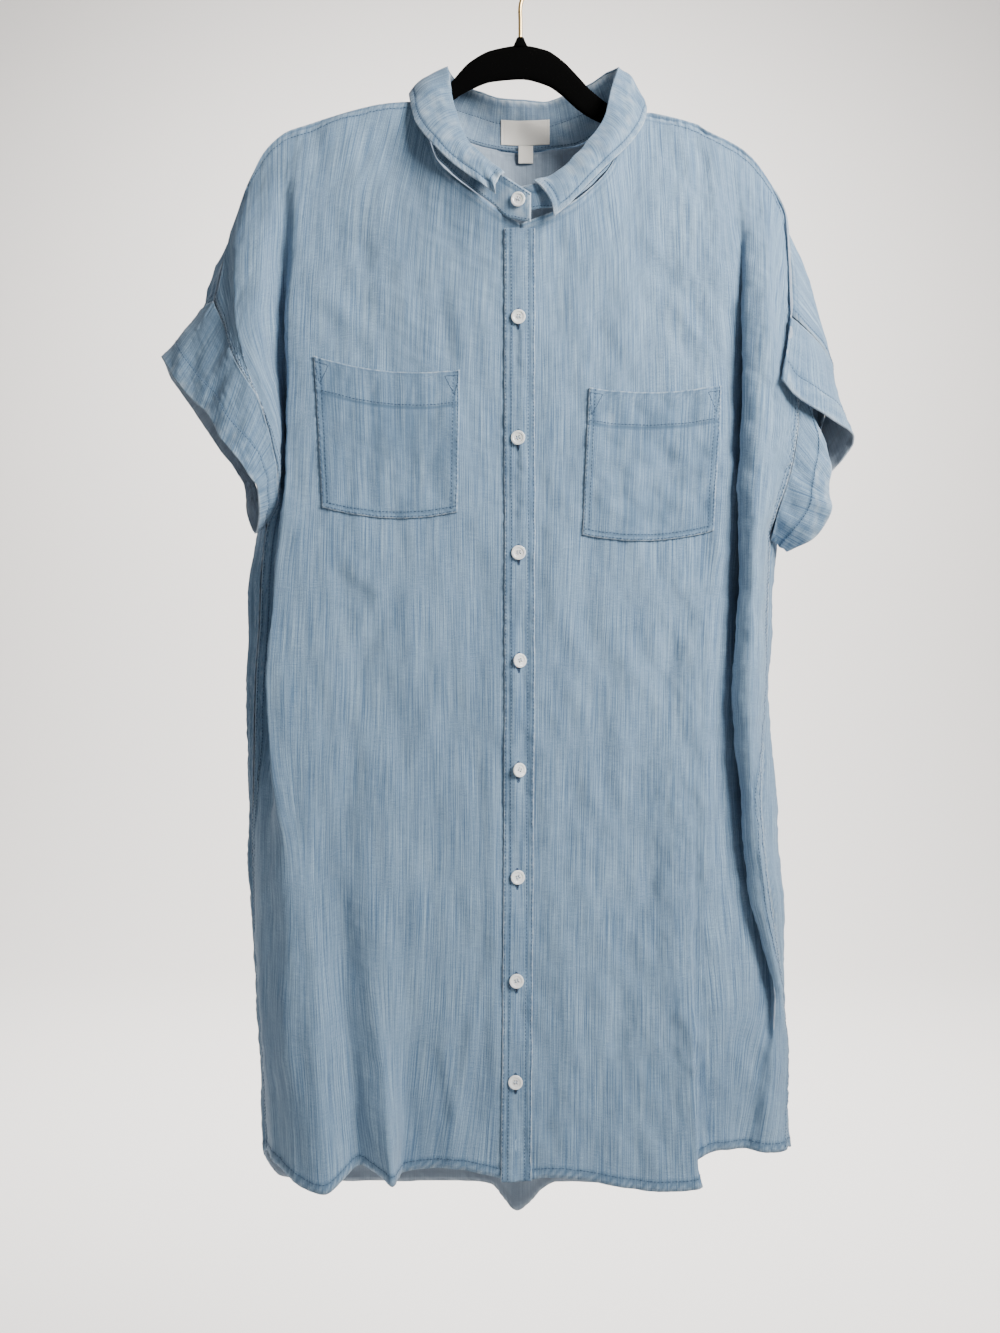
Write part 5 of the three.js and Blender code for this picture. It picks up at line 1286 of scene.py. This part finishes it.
# The hanger: a flat bar with round edges between the two lines of its outline, its ends closed.
velvet, velvetTree, velvetShader = newMaterial("velvet_black", (0.0012, 0.0012, 0.0012), 1.0)
velvetShader.inputs["Specular IOR Level"].default_value = 0.04
velvetShader.inputs["Sheen Weight"].default_value = 0.025
velvetShader.inputs["Sheen Roughness"].default_value = 0.35
velvetShader.inputs["Sheen Tint"].default_value = (0.4, 0.38, 0.36, 1)
velvetPlace = addNode(velvetTree, "ShaderNodeTexCoord").outputs["Object"]
pile = addNode(velvetTree, "ShaderNodeTexNoise", {"Vector": velvetPlace, "Scale": 1500.0, "Detail": 2.0})
velvetTree.links.new(addNode(velvetTree, "ShaderNodeBump", {"Height": pile.outputs["Fac"], "Strength": 0.7,
                     "Distance": 0.0006}).outputs["Normal"], velvetShader.inputs["Normal"])
outline = np.asarray(hangerOutline, float)
barX = np.linspace(outline[0, 1], outline[-1, 1], 240)
tops, bottoms = smoothCurve(outline[:, 1], outline[:, [0, 2]])(barX).T
section = np.arange(28) * 2 * math.pi / 28
roundness = 0.62
sectionY = np.sign(np.cos(section)) * np.abs(np.cos(section))**roundness * hanger["thickness"] / 2
sectionZ = np.sign(np.sin(section)) * np.abs(np.sin(section))**roundness
fromEnd = np.minimum(barX - barX[0], barX[-1] - barX)
closing = np.sqrt(np.clip(1 - (1 - np.clip(fromEnd / 5, 0, 1))**2, 0.02, 1))[:, None]
middleZ = -(tops + bottoms)[:, None] / 2
halfZ = (bottoms - tops)[:, None] / 2
barRings = np.stack([np.broadcast_to(barX[:, None], (240, 28)), sectionY * closing,
                     middleZ + halfZ * sectionZ * closing], axis=2)
firstPole = [barX[0], 0, middleZ[0, 0]]
lastPole = [barX[-1], 0, middleZ[-1, 0]]
shellPiece("hanger_velvet", ["hanger_body"], [tubeShell(barRings, firstPole, lastPole)], velvet)


# The hook: a wire along a smooth path up from the body, out and over the rail, its tip rounded.
def throughPoints(points, steps):
    # A Catmull-Rom curve through the points.
    points = np.asarray(points, float)
    padded = np.concatenate([2 * points[:1] - points[1:2], points, 2 * points[-1:] - points[-2:-1]])
    t = np.arange(steps)[None, :, None] / steps
    a, b, c, d = (padded[k:len(padded) - 3 + k, None] for k in range(4))
    curve = 0.5 * (2 * b + (c - a) * t + (2 * a - 5 * b + 4 * c - d) * t**2 + (3 * b - a - 3 * c + d) * t**3)
    return np.concatenate([curve.reshape(-1, 3), points[-1:]])


hookCentre = hanger["wire"] / 2 - hanger["hookRadius"]
hookAngles = np.radians(np.arange(-55, 196, 25))
hookPoints = [[-4, 0, hanger["hookFoot"]], [-4, 0, hanger["hookFoot"] + 19], [-4, 0, hanger["hookFoot"] + 34],
              [0, 0, hanger["hookFoot"] + 42]]
hookPoints += [[hanger["hookRadius"] * math.cos(a), 0, hookCentre + hanger["hookRadius"] * math.sin(a)]
               for a in hookAngles]
wirePath = throughPoints(hookPoints, 14)
wireRun = np.gradient(wirePath, axis=0)
wireRun /= np.linalg.norm(wireRun, axis=1, keepdims=True)
wireUp = np.cross(wireRun, [0, 1, 0])
wireAround = np.arange(20) * 2 * math.pi / 20
fromTip = np.linalg.norm(wirePath - wirePath[-1], axis=1)
wireRadius = hanger["wire"] / 2 * np.sqrt(np.clip(1 - (1 - np.clip(fromTip / 1.8, 0, 1))**2, 0.02, 1))
wireRings = wirePath[:, None] + wireRadius[:, None, None] * (
    np.cos(wireAround)[None, :, None] * wireUp[:, None] + np.sin(wireAround)[None, :, None] * np.array([0, 1.0, 0]))
gold, goldTree, goldShader = newMaterial("hook_gold", (0.80, 0.56, 0.25), 0.24, 1.0)
goldPlace = addNode(goldTree, "ShaderNodeTexCoord").outputs["Object"]
scuffs = addNode(goldTree, "ShaderNodeTexNoise", {"Vector": goldPlace, "Scale": 320.0, "Detail": 3.0}).outputs["Fac"]
goldTree.links.new(ramp(goldTree, scuffs, [(0.35, 0.26), (0.7, 0.34)]), goldShader.inputs["Roughness"])
shellPiece("hook_wire", ["hanger_hook"], [tubeShell(wireRings, wirePath[0], wirePath[-1])], gold)
nubHeights = np.array([-0.6, 0.0, 2.0, 5.0, 7.0, 8.0, 8.4])
nubRadii = np.array([6.0, 6.2, 5.6, 4.2, 3.4, 2.9, 2.2])
nubFoot = np.array([-4.0, 0, hanger["hookFoot"] - 1.5])
nubAround = np.arange(24) * 2 * math.pi / 24
nubRings = nubFoot + np.stack([nubRadii[:, None] * np.cos(nubAround), nubRadii[:, None] * np.sin(nubAround) * 0.62,
                               np.broadcast_to(nubHeights[:, None], (7, 24))], axis=2)
shellPiece("hanger_nub", [], [tubeShell(nubRings, nubFoot + [0, 0, -0.6], nubFoot + [0, 0, 8.4])], velvet)
print("hanger and hook made")


# the stage: a pale floor that curves up far behind, soft light and the camera
stage = {"floor": -1.62, "behind": 3.2, "curve": 1.4, "front": -4.5, "side": 6.0, "top": 4.0}
arc = np.linspace(0, math.pi / 2, 24)
profileY = np.concatenate([[stage["front"]], stage["behind"] + stage["curve"] * np.sin(arc),
                           [stage["behind"] + stage["curve"]]])
profileZ = np.concatenate([[stage["floor"]], stage["floor"] + stage["curve"] * (1 - np.cos(arc)), [stage["top"]]])
floorPoints = np.array([[x, y, z] for x in (-stage["side"], stage["side"]) for y, z in zip(profileY, profileZ)])
count = len(profileY)
floorFaces = np.array([[k, k + count, k + count + 1, k + 1] for k in range(count - 1)])
floorMaterial, floorTree, floorShader = newMaterial("floor_paper", (0.80, 0.775, 0.75), 0.95)
floorMesh = bpy.data.meshes.new("studio_floor")
floorMesh.from_pydata(floorPoints.tolist(), [], floorFaces.tolist())
floorMesh.shade_smooth()
floorMesh.materials.append(floorMaterial)
floor = bpy.data.objects.new("studio_floor", floorMesh)
bpy.context.collection.objects.link(floor)

lights = {
    "key": {"place": (0.95, -0.88, 0.24), "aim": (0.14, 0, -0.25), "size": 0.7, "power": 56, "tint": (1.0, 0.975, 0.94)},
    "fill": {"place": (-1.9, -1.5, -0.2), "aim": (0, 0, -0.6), "size": 2.2, "power": 2, "tint": (0.93, 0.96, 1.0)},
    "behind": {"place": (0, 1.6, 1.4), "aim": (0, 3.4, -0.8), "size": 2.5, "power": 390, "tint": (1.0, 0.98, 0.96)},
}


def aimed(obj, place, aim):
    offset = np.subtract(aim, place)
    obj.location = place
    obj.rotation_euler = (math.acos(-offset[2] / np.linalg.norm(offset)), 0,
                          math.atan2(offset[1], offset[0]) - math.pi / 2)


for name, light in lights.items():
    lamp = bpy.data.lights.new("light_" + name, "AREA")
    lamp.energy = light["power"]
    lamp.size = light["size"]
    lamp.color = light["tint"]
    lampObject = bpy.data.objects.new("light_" + name, lamp)
    bpy.context.collection.objects.link(lampObject)
    aimed(lampObject, light["place"], light["aim"])

world = bpy.data.worlds.new("pale_room")
world.use_nodes = True
world.node_tree.nodes["Background"].inputs["Color"].default_value = (0.86, 0.87, 0.9, 1)
world.node_tree.nodes["Background"].inputs["Strength"].default_value = 0.27
bpy.context.scene.world = world

camera = bpy.data.cameras.new("camera")
camera.sensor_width = 36
camera.lens = 36.11
camera.clip_start = 0.05
cameraObject = bpy.data.objects.new("camera", camera)
bpy.context.collection.objects.link(cameraObject)
cameraObject.location = (-0.0215, -1.150, -0.6179)
cameraObject.rotation_euler = (math.pi / 2, 0, 0)
bpy.context.scene.camera = cameraObject
print("stage, lights and camera set")

# the pieces that sit on the placket: the button threads, the buttonhole cords and slits, and the buttons
onPlacket = ["button_threads", "buttonhole_cords", "buttonhole_slits"]
onPlacket += ["button_%d_pearl" % (k + 1) for k in range(len(buttonDrops))]
